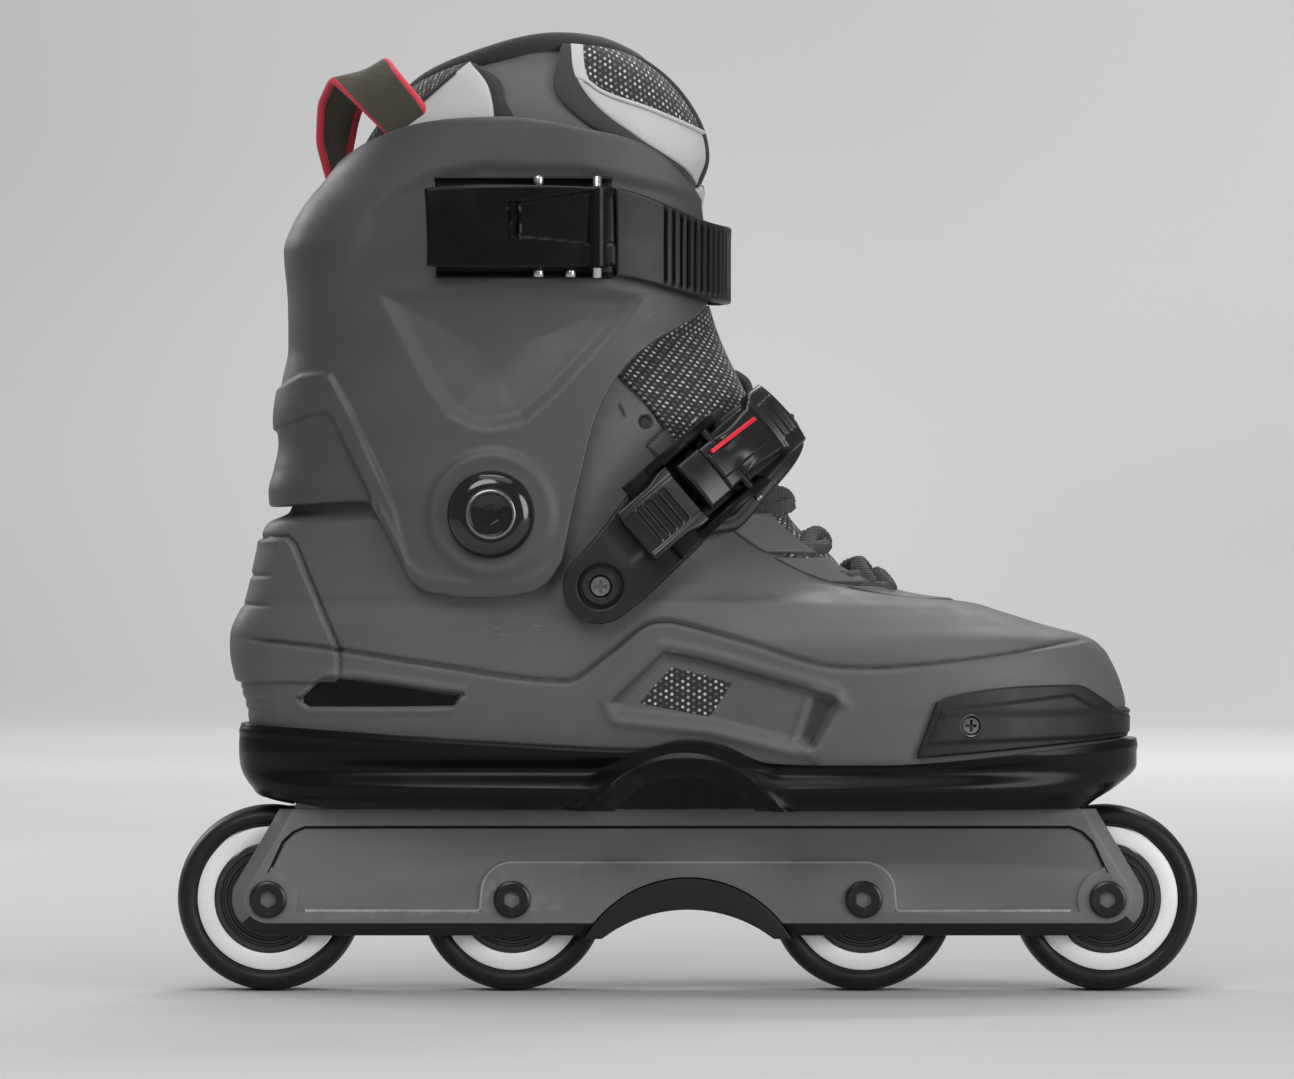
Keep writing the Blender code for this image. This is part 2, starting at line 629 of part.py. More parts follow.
def lace():
    """One lace that snakes over the tongue between the throat's edges, in four crossings."""
    radius = 1.9
    path = np.array(TONGUE_PATH)
    run = np.gradient(path, axis=0)
    run /= np.linalg.norm(run, axis=1)[:, None]
    route = []
    for i, height in enumerate((152.0, 143.0, 136.0, 130.0)):
        crown = [np.interp(height, path[:, 1], line) for line in (path[:, 0], run[:, 0], run[:, 1])]
        over = np.array((crown[0] + crown[2] * LACE_LIFT, height - crown[1] * LACE_LIFT))
        foot = height - 5.0
        edge = SHELL.point(SHELL.angle_at_y(THROAT(foot) + 6, foot), np.float64(foot), -LACE_LIFT)
        edge[2] += LACE_LIFT
        side = 1 if i % 2 else -1
        for a in np.linspace(-1, 1, 7):
            x, z = mix(over, edge[[0, 2]], abs(a) ** 2.2)
            route.append(Vector((x, -a * side * edge[1], z)))
    work = bmesh.new()
    rings = []
    around = np.linspace(0, 2 * pi, 7)[:-1]
    for i, spot in enumerate(route):
        way = (route[min(i + 1, len(route) - 1)] - route[max(i - 1, 0)]).normalized()
        turn = way.to_track_quat("Z", "X")
        ring = [Vector((radius * cos(a), radius * sin(a), 0)) for a in around]
        rings.append([work.verts.new(spot + turn @ offset) for offset in ring])
    for low, high in zip(rings, rings[1:]):
        strip(work, low + low[:1], high + high[:1])
    work.faces.new(rings[0])
    work.faces.new(rings[-1])
    place("lace", work, LINING)


# ---- cuff ----------------------------------------------------------------------------------

CUFF_WALL = 3.0


def cuff(pivot):
    edge = lambda z: CUFF.angle_at_x(CUFF_EDGE(z), z)
    sweep = Sweep(25, lambda z: -edge(z), edge)
    made = place("cuff", wrapped(CUFF, sweep, CUFF_LOW, CUFF_HIGH, 9, 0, CUFF_WALL), CUFF_GREY, pivot)
    for side, name in SIDES:
        side_bore(f"guide_cuff_pivot_{name}", made, (CUFF_PIVOT[0], CUFF_PIVOT[2]), 6.62, side)
        rim = arc((CUFF_PIVOT[0], CUFF_PIVOT[2]), CUFF_BOLT_RADIUS, 0, 360, 12)
        face = max(CUFF.side(*spot) for spot in rim)
        inside = SHELL.side(CUFF_PIVOT[0], CUFF_PIVOT[2], SHELL_WALL)
        bush = [(4.4, inside), (6.1, inside), (6.1, face), (4.4, face)]
        bolt = [(0, inside + 0.3), (4, inside + 0.3), (4, face + GAP),
                (CUFF_BOLT_RADIUS, face + GAP), (CUFF_BOLT_RADIUS, face + 1.6),
                (10.5, face + 4.4), (4, face + 4.8), (0, face + 4.8)]
        for part, profile, finish in (("nut", bush, STEEL), ("bolt", bolt, BLACK_STEEL)):
            work = turned(profile, (CUFF_PIVOT[0], 0, CUFF_PIVOT[2]), 16)
            bmesh.ops.scale(work, vec=(1, side, 1), verts=work.verts)
            place(f"cuff_{part}_{name}", work, finish)


def collar(pivot):
    """The liner's upper part and the tongue's, which lean with the cuff."""
    split = level(-10.0)
    rear = lambda z: COLLAR.angle_at_x(np.minimum(split(z), COLLAR.front(z) - 14), z)
    low = smooth((-60, 203), (-25, 208.5), (0, 214.5))
    sweep = Sweep(19, lambda z: -rear(z), rear)
    place("liner_cuff", wrapped(COLLAR, sweep, low, COLLAR_HIGH, 7, 0, 7), LINING, pivot)
    start = lambda z: rear(z) + 0.09
    sweep = Sweep(11, start, lambda z: 2 * pi - start(z))
    place("tongue_upper", wrapped(COLLAR, sweep, level(206.0), COLLAR_HIGH, 7, 0, 7), LINING, pivot)


def pull_loop(pivot):
    """The webbing loop that stands up behind the collar."""
    outer, inner = [], []
    for a in np.radians(np.linspace(-72, 72, 11)):
        y, rise = 31 * sin(a), cos(a)
        mid_x, mid_z = mix(-93, -104, rise), mix(262, 279.5, rise)
        for rows, lift in ((outer, 1.1), (inner, -1.1)):
            top = mid_z + lift * cos(a) + 3.5
            rows.append([(mid_x + w, y + lift * sin(a), top + w * 0.3) for w in (-8.5, 8.5)])
    place("pull_loop", slab(outer, inner), WEBBING, pivot)


STRAP_LOW = smooth((-50, 222.5), (-25, 222), (10, 214.8), (20, 214.8))
STRAP_HIGH = smooth((-50, 249.5), (-25, 249), (10, 238.4), (20, 238.4))


def cuff_strap(pivot):
    start = lambda z: CUFF.angle_at_x(-24.3, z)
    end = lambda z: 2 * pi - CUFF.angle_at_x(-46.0, z)
    work = wrapped(CUFF, Sweep(21, start, end), STRAP_LOW, STRAP_HIGH, 2, -4.6, -1.4)
    place("cuff_strap", work, BLACK_NYLON, pivot)


def cuff_buckle(pivot, lever_pivot, pin_spot):
    """A base plate on the cuff, a lever that closes over it, and the lever's pin at its front."""
    span = lambda x: lambda z: CUFF.angle_at_x(x, z)
    sweep = Sweep(7, span(-76), span(-24.9))
    base_work = wrapped(CUFF, sweep, level(221.0), level(252.6), 2, -4.6, -1.4)
    base = place("cuff_buckle_base", base_work, BLACK_NYLON, pivot)
    for i, (low, high) in enumerate(((220.9, 223.4), (250.2, 252.7))):
        ear = box((-31.5, -25.2), (pin_spot[1] - 3.0, pin_spot[1] + 6.0), (low, high))
        combine(base, cutter(f"guide_ear_{i}", ear), "UNION")
    sweep = Sweep(7, span(-77.5), span(-30.4))
    lever_work = wrapped(CUFF, sweep, level(224.0), level(249.6), 2, -10.8, -5.5)
    lever = place("cuff_buckle_lever", lever_work, BLACK_NYLON, lever_pivot)
    column = lambda radius, low, high, facets: turned(
        [(0, low), (radius, low), (radius, high), (0, high)], (pin_spot[0], pin_spot[1], 0), facets, "Z")
    knuckle = column(3.1, 224.2, 249.4, 16)
    combine(lever, cutter("guide_knuckle", knuckle), "UNION")
    for name, target in (("base", base), ("lever", lever)):
        combine(target, cutter(f"guide_pin_{name}", column(1.85, 210, 262, 12)))
    place("cuff_buckle_pin", column(1.4, 219.8, 253.8, 12), STEEL, pivot)


# ---- instep strap --------------------------------------------------------------------------

ARCH_SIDE, ARCH_REACH = 45.2, 71.5  # half axes of the strap's inner arch


def on_strap(angle, across, layer):
    """A point of the strap: angle 0 at the outer screw, 180 at the inner one; layer is its height."""
    rise = (ARCH_REACH + layer) * sin(radians(angle))
    x = STRAP_PIVOT[0] + rise * cos(STRAP_RISE) - across * sin(STRAP_RISE)
    z = STRAP_PIVOT[2] + rise * sin(STRAP_RISE) + across * cos(STRAP_RISE)
    return (x, -(ARCH_SIDE + layer) * cos(radians(angle)), z)


def strap_piece(angles, middle, half, low, high, columns=3):
    """A slab on the strap's arch; each of middle, half, low and high is a function of the angle."""
    across = np.linspace(-1, 1, columns)
    rows = [[[on_strap(a, middle(a) + half(a) * w, layer(a)) for w in across] for a in angles]
            for layer in (high, low)]
    return slab(*rows)


def arm_half(angle):
    """Round at the screw, widening towards the buckle."""
    rise = ARCH_REACH * sin(radians(angle))
    if rise < 0:
        return max(sqrt(max(11.3 ** 2 - rise ** 2, 0)), 1.5)
    return mix(11.3, 14.0, min(rise / 30, 1))


def instep_strap(pivot, lever_pivot, release_pivot):
    drift = lambda a: mix(0, 4.4, float(ease(0, 35, a)))
    arm_angles = [-9, -8, -6, -3.5, 0, 8, 17, 27, 38, 49, 61]
    arm_work = strap_piece(arm_angles, drift, arm_half, lambda a: 0, lambda a: 3.0)
    arm = place("instep_arm", arm_work, BLACK_NYLON, pivot)
    ladder_angles = [189, 187.5, 184, 180, 168, 155, 142, 129, 116, 103, 90, 78, 70, 63, 57, 50, 42]
    climb = lambda a: mix(5.6, 0.0, float(ease(57, 72, a)))
    ladder_half = lambda a: mix(9.5, arm_half(180 - a), float(ease(150, 172, a)))
    ladder_drift = lambda a: mix(4.4, 0, float(ease(140, 176, a)))
    ladder = place("instep_ladder", strap_piece(ladder_angles, ladder_drift, ladder_half, climb,
                                                lambda a: climb(a) + 2.6), BLACK_NYLON, pivot)
    base_angles = [19, 27, 35, 43, 50]
    base = place("instep_buckle_base", strap_piece(base_angles, drift, lambda a: 14.5, lambda a: 3.3,
                                                   lambda a: 5.3), BLACK_NYLON, pivot)
    for i, (low, high) in enumerate(((-10.0, -7.6), (16.6, 19.0))):
        wall = strap_piece([28.6, 35, 43, 49.2], lambda a: (low + high) / 2, lambda a: (high - low) / 2,
                           lambda a: 3.8, lambda a: 13.2, 2)
        combine(base, cutter(f"guide_wall_{i}", wall), "UNION")
    for side, name, target in ((-1, "lateral", arm), (1, "medial", ladder)):
        side_bore(f"guide_strap_{name}", target, (STRAP_PIVOT[0], STRAP_PIVOT[2]), 3.3, side, 12)
        inside = SHELL.side(STRAP_PIVOT[0], STRAP_PIVOT[2], SHELL_WALL) + 0.2
        face = ARCH_SIDE + 3.0 + GAP
        screw = [(0, inside), (2.9, inside), (2.9, face), (5.7, face), (5.0, face + 1.6), (0, face + 1.6)]
        work = turned(screw, (STRAP_PIVOT[0], 0, STRAP_PIVOT[2]), 12)
        bmesh.ops.scale(work, vec=(1, side, 1), verts=work.verts)
        place(f"instep_screw_{name}", work, BLACK_STEEL)
    lever = place("ratchet_lever", strap_piece([38, 44, 50, 57, 64, 70], lambda a: 4.5, lambda a: 11.6,
                                               lambda a: 8.9, lambda a: 12.6), BLACK_NYLON, lever_pivot)
    release = place("release_lever", strap_piece([13, 18, 24, 29], lambda a: 4.5, lambda a: 11.2,
                                                 lambda a: 6.2, lambda a: 10.2), BLACK_NYLON, release_pivot)
    pin_low, pin_high = ratchet_pin_ends()
    place("instep_buckle_pin", rod(pin_low, pin_high, 1.4), STEEL, pivot)
    for name, target in (("base", base), ("lever", lever)):
        combine(target, cutter(f"guide_ratchet_{name}", rod(pin_low, pin_high, 1.85)))


def ratchet_pin_ends():
    return on_strap(42, -11.0, 10.6), on_strap(42, 20.0, 10.6)


# ---- the whole skate -----------------------------------------------------------------------

def build():
    for old in list(bpy.data.objects):
        bpy.data.objects.remove(old)
    for number, x in enumerate(WHEEL_X, 1):
        wheel(number, x)
    frame()
    h_block()
    soulplate()
    shell()
    toe_guard()
    heel_inlays()
    cushion("shock_pad", SHELL_WALL + 2.5, (-140, 140), (SHELL_BOTTOM + SHELL_WALL + GAP, PAD_TOP), FOAM)
    liner_foot()
    footbed = LINER_BOTTOM + 4 + GAP
    cushion("footbed", SHELL_WALL + LINER_WALL + 3.5, (-140, 140), (footbed, footbed + 4), FOAM)
    tongue_lower()
    lace()
    pivot = empty("cuff_pivot", CUFF_PIVOT)
    cuff(pivot)
    collar(pivot)
    pull_loop(pivot)
    cuff_strap(pivot)
    pin_spot = (LEVER_PIN_X, -CUFF.side(LEVER_PIN_X, 237.0) - 9.4, 237.0)
    cuff_buckle(pivot, empty("cuff_lever_pivot", pin_spot), pin_spot)
    swing = empty("instep_swing", STRAP_PIVOT)
    ends = ratchet_pin_ends()
    middle = [(a + b) / 2 for a, b in zip(*ends)]
    instep_strap(swing, empty("ratchet_pivot", middle), empty("release_pivot", on_strap(28, 4.5, 8.2)))


build()
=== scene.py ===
"""The looks of one right inline skate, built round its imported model.

Lengths are in millimetres in the model's own frame, +X to the toe, +Y to the inner side and +Z up;
MM turns them into metres. Curved boot parts lie on skins, which are given by their level outlines.
"""

from math import asin, cos, pi, radians, sin

import bmesh
import bpy
import numpy as np
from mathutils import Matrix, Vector


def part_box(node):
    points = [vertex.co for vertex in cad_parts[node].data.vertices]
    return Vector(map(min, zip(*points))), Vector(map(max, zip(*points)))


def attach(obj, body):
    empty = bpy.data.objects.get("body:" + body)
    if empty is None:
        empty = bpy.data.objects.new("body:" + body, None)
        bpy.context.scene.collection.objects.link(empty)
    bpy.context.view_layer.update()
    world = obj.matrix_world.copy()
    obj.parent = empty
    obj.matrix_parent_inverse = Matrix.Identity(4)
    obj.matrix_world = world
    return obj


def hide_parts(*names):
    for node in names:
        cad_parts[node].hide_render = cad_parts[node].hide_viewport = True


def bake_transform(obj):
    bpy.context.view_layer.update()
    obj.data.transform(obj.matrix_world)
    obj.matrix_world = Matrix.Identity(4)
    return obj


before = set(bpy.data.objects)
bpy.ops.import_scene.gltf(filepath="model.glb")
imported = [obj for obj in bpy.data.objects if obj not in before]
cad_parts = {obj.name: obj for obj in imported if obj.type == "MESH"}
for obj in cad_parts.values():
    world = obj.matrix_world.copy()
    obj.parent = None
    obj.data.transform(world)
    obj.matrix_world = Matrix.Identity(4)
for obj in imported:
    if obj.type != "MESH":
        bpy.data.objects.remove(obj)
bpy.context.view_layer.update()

MM = 0.001
SIDES = ((-1, "lateral"), (1, "medial"))
WHEEL_X = (-130.5, -54.7, 54.7, 130.5)
WHEEL_RADIUS = 29.0
CUFF_PIVOT = (-60.7, 148.6)
STRAP_PIVOT = (-27.0, 126.5)
STRAP_RISE = radians(40.5)
BUCKLE_MIDDLE = 4.5  # how far the instep buckle's middle lies across the strap from its pivot line
GUARD_SCREW = (86.8, 83.7)


# ---- curves and skins ----------------------------------------------------------------------

def mix(low, high, share):
    return low + (high - low) * share


def ease(low, high, at):
    t = np.clip((at - low) / (high - low), 0, 1)
    return t * t * (3 - 2 * t)


def level(value):
    return lambda x: value + 0 * x


def smooth(*points):
    """A curve through the points (x, y), in x order, that keeps their rises and falls."""
    x, y = np.array(points, float).T
    step = np.diff(x)
    slope = np.diff(y) / step
    tangent = np.concatenate(([slope[0]], (slope[1:] + slope[:-1]) / 2, [slope[-1]]))
    tangent[1:-1][slope[1:] * slope[:-1] <= 0] = 0
    limit = 3 * np.minimum(np.abs(np.append(slope, slope[-1])), np.abs(np.append(slope[0], slope)))
    tangent = np.clip(tangent, -limit, limit)

    def value(at):
        at = np.clip(at, x[0], x[-1])
        i = np.clip(np.searchsorted(x, at, side="right") - 1, 0, len(x) - 2)
        t = (at - x[i]) / step[i]
        rise = (3 - 2 * t) * t * t
        lift = t * (1 - t) * step[i]
        return y[i] + (y[i + 1] - y[i]) * rise + lift * ((1 - t) * tangent[i] - t * tangent[i + 1])

    return value


class Skin:
    """A boot surface given by its level outlines: rear end, front end, half width and roundness."""

    def __init__(self, rear, front, half, power):
        self.rear, self.front, self.half, self.power = rear, front, half, power

    def span(self, z, inset=0.0):
        low, high = self.rear(z) + inset, self.front(z) - inset
        return (low + high) / 2, (high - low) / 2

    def x(self, angle, z, inset=0.0):
        mid, reach = self.span(z, inset)
        return mid - reach * np.cos(angle)

    def point(self, angle, z, inset=0.0):
        """Angle 0 is the heel, pi the toe; the outer (lateral) side lies between them."""
        x = self.x(angle, z, inset)
        side = np.sin(angle)
        y = -np.sign(side) * np.abs(side) ** self.power(z) * (self.half(x, z) - inset)
        return np.stack((x, np.where(np.abs(side) < 1e-9, 0.0, y), z + 0 * x), axis=-1)

    def angle_at_x(self, x, z, inset=0.0):
        mid, reach = self.span(z, inset)
        return np.arccos(np.clip((mid - x) / reach, -1, 1))

    def angle_at_y(self, y, z):
        """The angle, on the toe half of the outline, where the half width is y."""
        share = np.clip(y / self.half(self.front(z), z), 0, 1)
        return pi - np.arcsin(share ** (1 / self.power(z)))

    def side(self, x, z, inset=0.0):
        """The half width at (x, z)."""
        return -self.point(self.angle_at_x(x, z, inset), z, inset)[..., 1]


FOOT_WIDTH = smooth((-140, 43), (-95, 43.5), (-50, 42), (0, 44), (45, 51.5), (75, 55), (105, 54),
                    (140, 50))
SHAFT_WIDTH = smooth((105, 42.5), (125, 40.8), (148, 40.2), (177, 38.6), (200, 37.5))
SHELL = Skin(
    smooth((70, -136.9), (80, -136.9), (88, -137.8), (95, -139.8), (107, -142.2), (111, -142.1),
           (122, -137.5), (137, -134), (146, -131.4), (149.5, -124.6), (172, -120.5), (200, -117)),
    smooth((70, 135.2), (86, 135.4), (89, 136.9), (95.6, 135.6), (103, 132.5), (107, 129.9),
           (110.7, 124.6), (114.4, 111.1), (118.5, 98), (121.5, 87), (123.5, 69), (127, 56.5),
           (131.7, 46.5), (138, 36.5), (147, 26.5), (160, 18), (177, 9.5), (190, 0.5), (200, -6.5)),
    lambda x, z: mix(FOOT_WIDTH(x), SHAFT_WIDTH(z), ease(105, 135, z)),
    smooth((70, 0.62), (95, 0.66), (115, 0.78), (200, 0.8)),
)
SOLE_WIDTH = smooth((-140, 45), (-95, 48), (-40, 50), (0, 53), (40, 58.5), (72, 60), (105, 58.5),
                    (140, 52))
SOLE_CHANNEL = smooth((57, 9), (60.5, 3), (64, 1.2), (69.5, 4.5), (75, 0), (84, 0))
SOLE = Skin(
    smooth((57, -117), (60, -131.5), (64, -136.5), (71, -140), (77, -140.3), (84, -139.5)),
    smooth((57, 124.5), (60, 128), (64, 134), (71, 140.4), (77, 140.3), (84, 140.3)),
    lambda x, z: SOLE_WIDTH(x) - SOLE_CHANNEL(z),
    level(0.6),
)
CUFF_WIDTH = smooth((120, 46.4), (148, 46.5), (180, 45.2), (215, 44.4), (245, 45), (272, 46))
CUFF = Skin(
    smooth((120, -135), (151, -130.8), (156, -131), (163, -129.3), (171, -127.9), (178, -128.6),
           (190, -127), (201, -125), (216, -125.2), (231, -126.4), (238.6, -124), (246, -119.6),
           (253.6, -113.3), (262, -107), (272, -100)),
    smooth((120, 45), (134, 44), (150, 42), (165, 38), (180, 31), (199, 19), (209, 11.3),
           (217, 9.3), (231, 9.3), (240, 9.6), (250, 10.5), (272, 11)),
    lambda x, z: CUFF_WIDTH(z) + 0 * x,
    level(0.8),
)
COLLAR_WIDTH = smooth((200, 37.6), (217, 38), (245, 38.8), (262, 39.8), (280, 39), (298, 34))
COLLAR = Skin(
    smooth((200, -117.5), (231, -118.5), (246, -111.5), (256, -105.5), (270, -97), (284, -85),
           (298, -62)),
    smooth((200, 8), (208, 5.5), (214, 3.6), (231, 3.6), (244, 2.4), (252, 4), (260, 6.6), (273, 3),
           (287, -9), (298, -28)),
    lambda x, z: COLLAR_WIDTH(z) + 0 * x,
    level(0.8),
)
THROAT = smooth((121, 0), (122.5, 6), (126, 12.5), (135, 16), (150, 19), (177, 22), (200, 26))
SHELL_RIM = smooth((-142, 171), (-105, 172), (-75, 180), (-40, 195), (-20, 199.5), (0, 199.5))
SOLE_RIM = smooth((-140, 83.7), (-60, 79), (-14, 77), (-1, 79.6), (9, 78.4), (25, 72.2), (54, 71.5),
                  (140, 79))
GUARD_LOW = smooth((60, 73.3), (75, 74.2), (140, 80))
GUARD_HIGH = smooth((66, 88), (75, 91), (80, 93), (118, 96.2), (128, 91), (133, 87.6), (142, 87.6))
CUFF_LOW = smooth((-132, 151), (-100, 152.5), (-93, 143), (-85, 127.5), (-75, 123.6), (-65, 122.8),
                  (-49, 124.3), (-42.5, 128.5), (-38, 135.5))
CUFF_HIGH = smooth((-116, 255), (-98, 265.5), (-81, 270.2), (-57.5, 271.2), (-33, 267.7), (-9, 260.5),
                   (3, 249), (8, 242))
CUFF_EDGE = smooth((134, -38.8), (158.6, -33.4), (183.4, -26), (196, -17.5), (203, -9), (209, 1),
                   (214, 6.4), (220, 7.3), (231, 7.3), (240, 6.3), (250, 4.3))
STRAP_LOW = smooth((-50, 222.5), (-25, 222), (10, 214.8), (20, 214.8))
STRAP_HIGH = smooth((-50, 249.5), (-25, 249), (10, 238.4), (20, 238.4))


# ---- distances in the side view --------------------------------------------------------------

def along(path, x, z):
    """The distance from (x, z) to an open path."""
    best = np.full(np.shape(x), 1e9)
    for (x0, z0), (x1, z1) in zip(path, path[1:]):
        run = (x1 - x0) ** 2 + (z1 - z0) ** 2
        t = np.clip(((x - x0) * (x1 - x0) + (z - z0) * (z1 - z0)) / run, 0, 1)
        best = np.minimum(best, np.hypot(x - mix(x0, x1, t), z - mix(z0, z1, t)))
    return best


def inside(outline, x, z):
    """How far (x, z) lies inside a closed outline; negative outside it."""
    closed = outline + outline[:1]
    odd = np.zeros(np.shape(x), bool)
    for (x0, z0), (x1, z1) in zip(closed, closed[1:]):
        rise = z1 - z0 if z1 != z0 else 1e-9
        odd ^= ((z0 > z) != (z1 > z)) & (x < (x1 - x0) * (z - z0) / rise + x0)
    return np.where(odd, 1, -1) * along(closed, x, z)


def above(curve, x, z):
    """The distance from (x, z) up to a curve z = curve(x), square to its slope."""
    slope = (curve(x + 0.5) - curve(x - 0.5)) / 1.0
    return (z - curve(x)) / np.sqrt(1 + slope ** 2)


def groove(distance, width):
    """1 in the middle of a line, falling to 0 at about its width."""
    return np.exp(-(distance / (0.5 * width)) ** 2)


# ---- meshes ----------------------------------------------------------------------------------

def unit(vectors):
    return vectors / np.maximum(np.linalg.norm(vectors, axis=-1, keepdims=True), 1e-12)


def lengths(line):
    """How far each point of a line lies along it."""
    return np.concatenate(([0], np.cumsum(np.linalg.norm(np.diff(line, axis=0), axis=-1))))


def normals(points):
    """Unit normals of a grid of points, turned away from the middle of the piece's cross section."""
    normal = unit(np.cross(np.gradient(points, axis=1), np.gradient(points, axis=0)))
    seam = np.linalg.norm(points[:, 0] - points[:, -1], axis=-1) < 1e-6
    joined = unit(normal[:, 0] + normal[:, -1])
    normal[seam, 0] = joined[seam]
    normal[seam, -1] = joined[seam]
    return normal


def to_border(points):
    """Each grid point's distance, over the surface, to the nearest open border."""
    reach = []
    for axis in (0, 1):
        step = np.linalg.norm(np.diff(points, axis=axis), axis=-1)
        zero = np.zeros_like(np.take(step, [0], axis=axis))
        run = np.concatenate((zero, np.cumsum(step, axis=axis)), axis=axis)
        reach.append(np.minimum(run, np.take(run, [-1], axis=axis) - run))
    seam = np.linalg.norm(points[:, 0] - points[:, -1], axis=-1) < 1e-6
    reach[1][seam] = 1e9
    return np.minimum(*reach)


def stops(count, length, edge):
    """Shares from 0 to 1, with close ones inside the rounded edge at each end."""
    near = edge * (1 - np.cos(np.linspace(0, pi / 2, 5))) / length
    return np.concatenate((near, np.linspace(near[-1], 1 - near[-1], count)[1:-1], 1 - near[::-1]))


def cells(rows, columns, start, flip):
    """The faces of a grid of points, numbered from start."""
    corner = start + np.arange(rows - 1)[:, None] * columns + np.arange(columns - 1)
    faces = np.stack((corner, corner + 1, corner + columns + 1, corner + columns), axis=-1)
    faces = faces.reshape(-1, 4)
    return faces[:, ::-1] if flip else faces


def band(first, second):
    return np.stack((first[:-1], second[:-1], second[1:], first[1:]), axis=-1)


def plate(points, thick, edge=0.6, height=0.0, under=0.0):
    """A closed sheet: its outer face is the grid raised by height, and its edges are rounded.

    thick is how far the inner face lies below the grid, and under is how far that is raised."""
    normal = normals(points)
    near = np.clip(edge - to_border(points), 0, edge)
    drop = edge - np.sqrt(edge ** 2 - near ** 2) if edge else near
    outer = points + normal * (height - drop)[..., None]
    inner = points - normal * np.broadcast_to(thick - under, drop.shape)[..., None]
    rows, columns = points.shape[:2]
    count = rows * columns
    index = np.arange(count).reshape(rows, columns)
    faces = [cells(rows, columns, 0, False), cells(rows, columns, count, True)]
    faces.append(band(index[0], index[0] + count))
    faces.append(band(index[-1], index[-1] + count)[:, ::-1])
    open_rows = np.linalg.norm(points[:, 0] - points[:, -1], axis=-1) >= 1e-6
    for column, turn in ((0, -1), (-1, 1)):
        line = index[:, column]
        edges = band(line, line + count)[:, ::turn]
        faces.append(edges[open_rows[:-1] | open_rows[1:]])
    verts = np.concatenate((outer.reshape(-1, 3), inner.reshape(-1, 3)))
    return verts, np.concatenate(faces)


def cover(skin, start, end, low, high, rows, columns, inset=0.0, rim=None):
    """A grid on a skin between two angles and two heights; rows and columns are lists of shares.

    rim may give a greatest height for each angle."""
    share, across = np.asarray(rows)[:, None], np.asarray(columns)
    ends = []
    for curve in (low, high):
        z = np.full(len(across), 150.0 if rim is None else 250.0)
        for _ in range(60):
            turn = mix(start(z), end(z), across)
            goal = curve(skin.x(turn, z))
            z = mix(z, goal if rim is None else np.minimum(goal, rim(turn)), 0.5)
        ends.append(z)
    z = mix(np.minimum(*ends), ends[1], share)
    return skin.point(mix(start(z), end(z), across), z, inset)


def linked(name, data):
    """A new object in the scene that shows this mesh, light or camera."""
    made = bpy.data.objects.new(name, data)
    bpy.context.collection.objects.link(made)
    return made


def written(work, mesh):
    """Writes a bmesh in millimetres into a mesh in metres."""
    bmesh.ops.scale(work, vec=(MM, MM, MM), verts=work.verts)
    work.to_mesh(mesh)
    work.free()
    return mesh


def laid_out(u, v):
    """The field that the spotted mesh reads: two lengths in millimetres for each grid point."""
    return np.stack((u, v + 0 * u, 0 * u), axis=-1)


def piece(name, mesh, finish, body="root", nodes=(), slot=None, sharp=40, **fields):
    """Makes a shown piece from (points, faces) or a bmesh, in millimetres.

    A field holds a number or a vector for each point of the outer face, which the finish reads."""
    made = bpy.data.meshes.new(name)
    work = mesh
    if not isinstance(mesh, bmesh.types.BMesh):
        points, faces = mesh
        made.from_pydata(points.tolist(), [], faces.tolist())
        for field, values in fields.items():
            wide = 3 if values.ndim == 3 else 1
            full = np.zeros((len(points), wide), np.float32)
            flat = values.reshape(-1, wide)
            full[:len(flat)] = flat
            full[len(flat):2 * len(flat)] = flat if wide == 3 else 0
            layer = made.attributes.new(field, "FLOAT_VECTOR" if wide == 3 else "FLOAT", "POINT")
            layer.data.foreach_set("vector" if wide == 3 else "value", full.ravel())
        work = bmesh.new()
        work.from_mesh(made)
    bmesh.ops.remove_doubles(work, verts=work.verts, dist=1e-4)
    bmesh.ops.dissolve_degenerate(work, dist=1e-5, edges=work.edges)
    if work.calc_volume(signed=True) < 0:
        bmesh.ops.reverse_faces(work, faces=work.faces)
    made.clear_geometry()
    shown = linked(name, written(work, made))
    made.materials.append(finish)
    made.shade_smooth()
    made.set_sharp_from_angle(angle=radians(sharp))
    if body:
        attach(shown, body)
    if nodes:
        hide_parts(*nodes)
    return shown


def lathe(profile, centre, facets, axis="Y", side=1):
    """Spins (radius, height) points about an axis; a third value gives a ring that many flat sides."""
    work = bmesh.new()
    rings = []
    for radius, height, *flats in profile:
        ring = []
        for i in range(facets if radius else 1):
            a = 2 * pi * (i + 0.5) / facets
            r = radius
            if flats:
                sector = 2 * pi / flats[0]
                r = radius / cos((a % sector) - sector / 2)
            u, v, h = r * sin(a), -r * cos(a), height * side
            spot = {"Y": (u, h, v), "Z": (u, v, h)}[axis]
            ring.append(work.verts.new([p + q for p, q in zip(centre, spot)]))
        rings.append(ring)
    ends_solid = len(rings[0]) == 1
    for low, high in zip(rings, rings[1:] + ([] if ends_solid else rings[:1])):
        for i in range(facets):
            j = (i + 1) % facets
            corners = [low[i % len(low)], low[j % len(low)], high[j % len(high)], high[i % len(high)]]
            corners = list(dict.fromkeys(corners))
            if len(corners) > 2:
                work.faces.new(corners)
    bmesh.ops.recalc_face_normals(work, faces=work.faces)
    return work


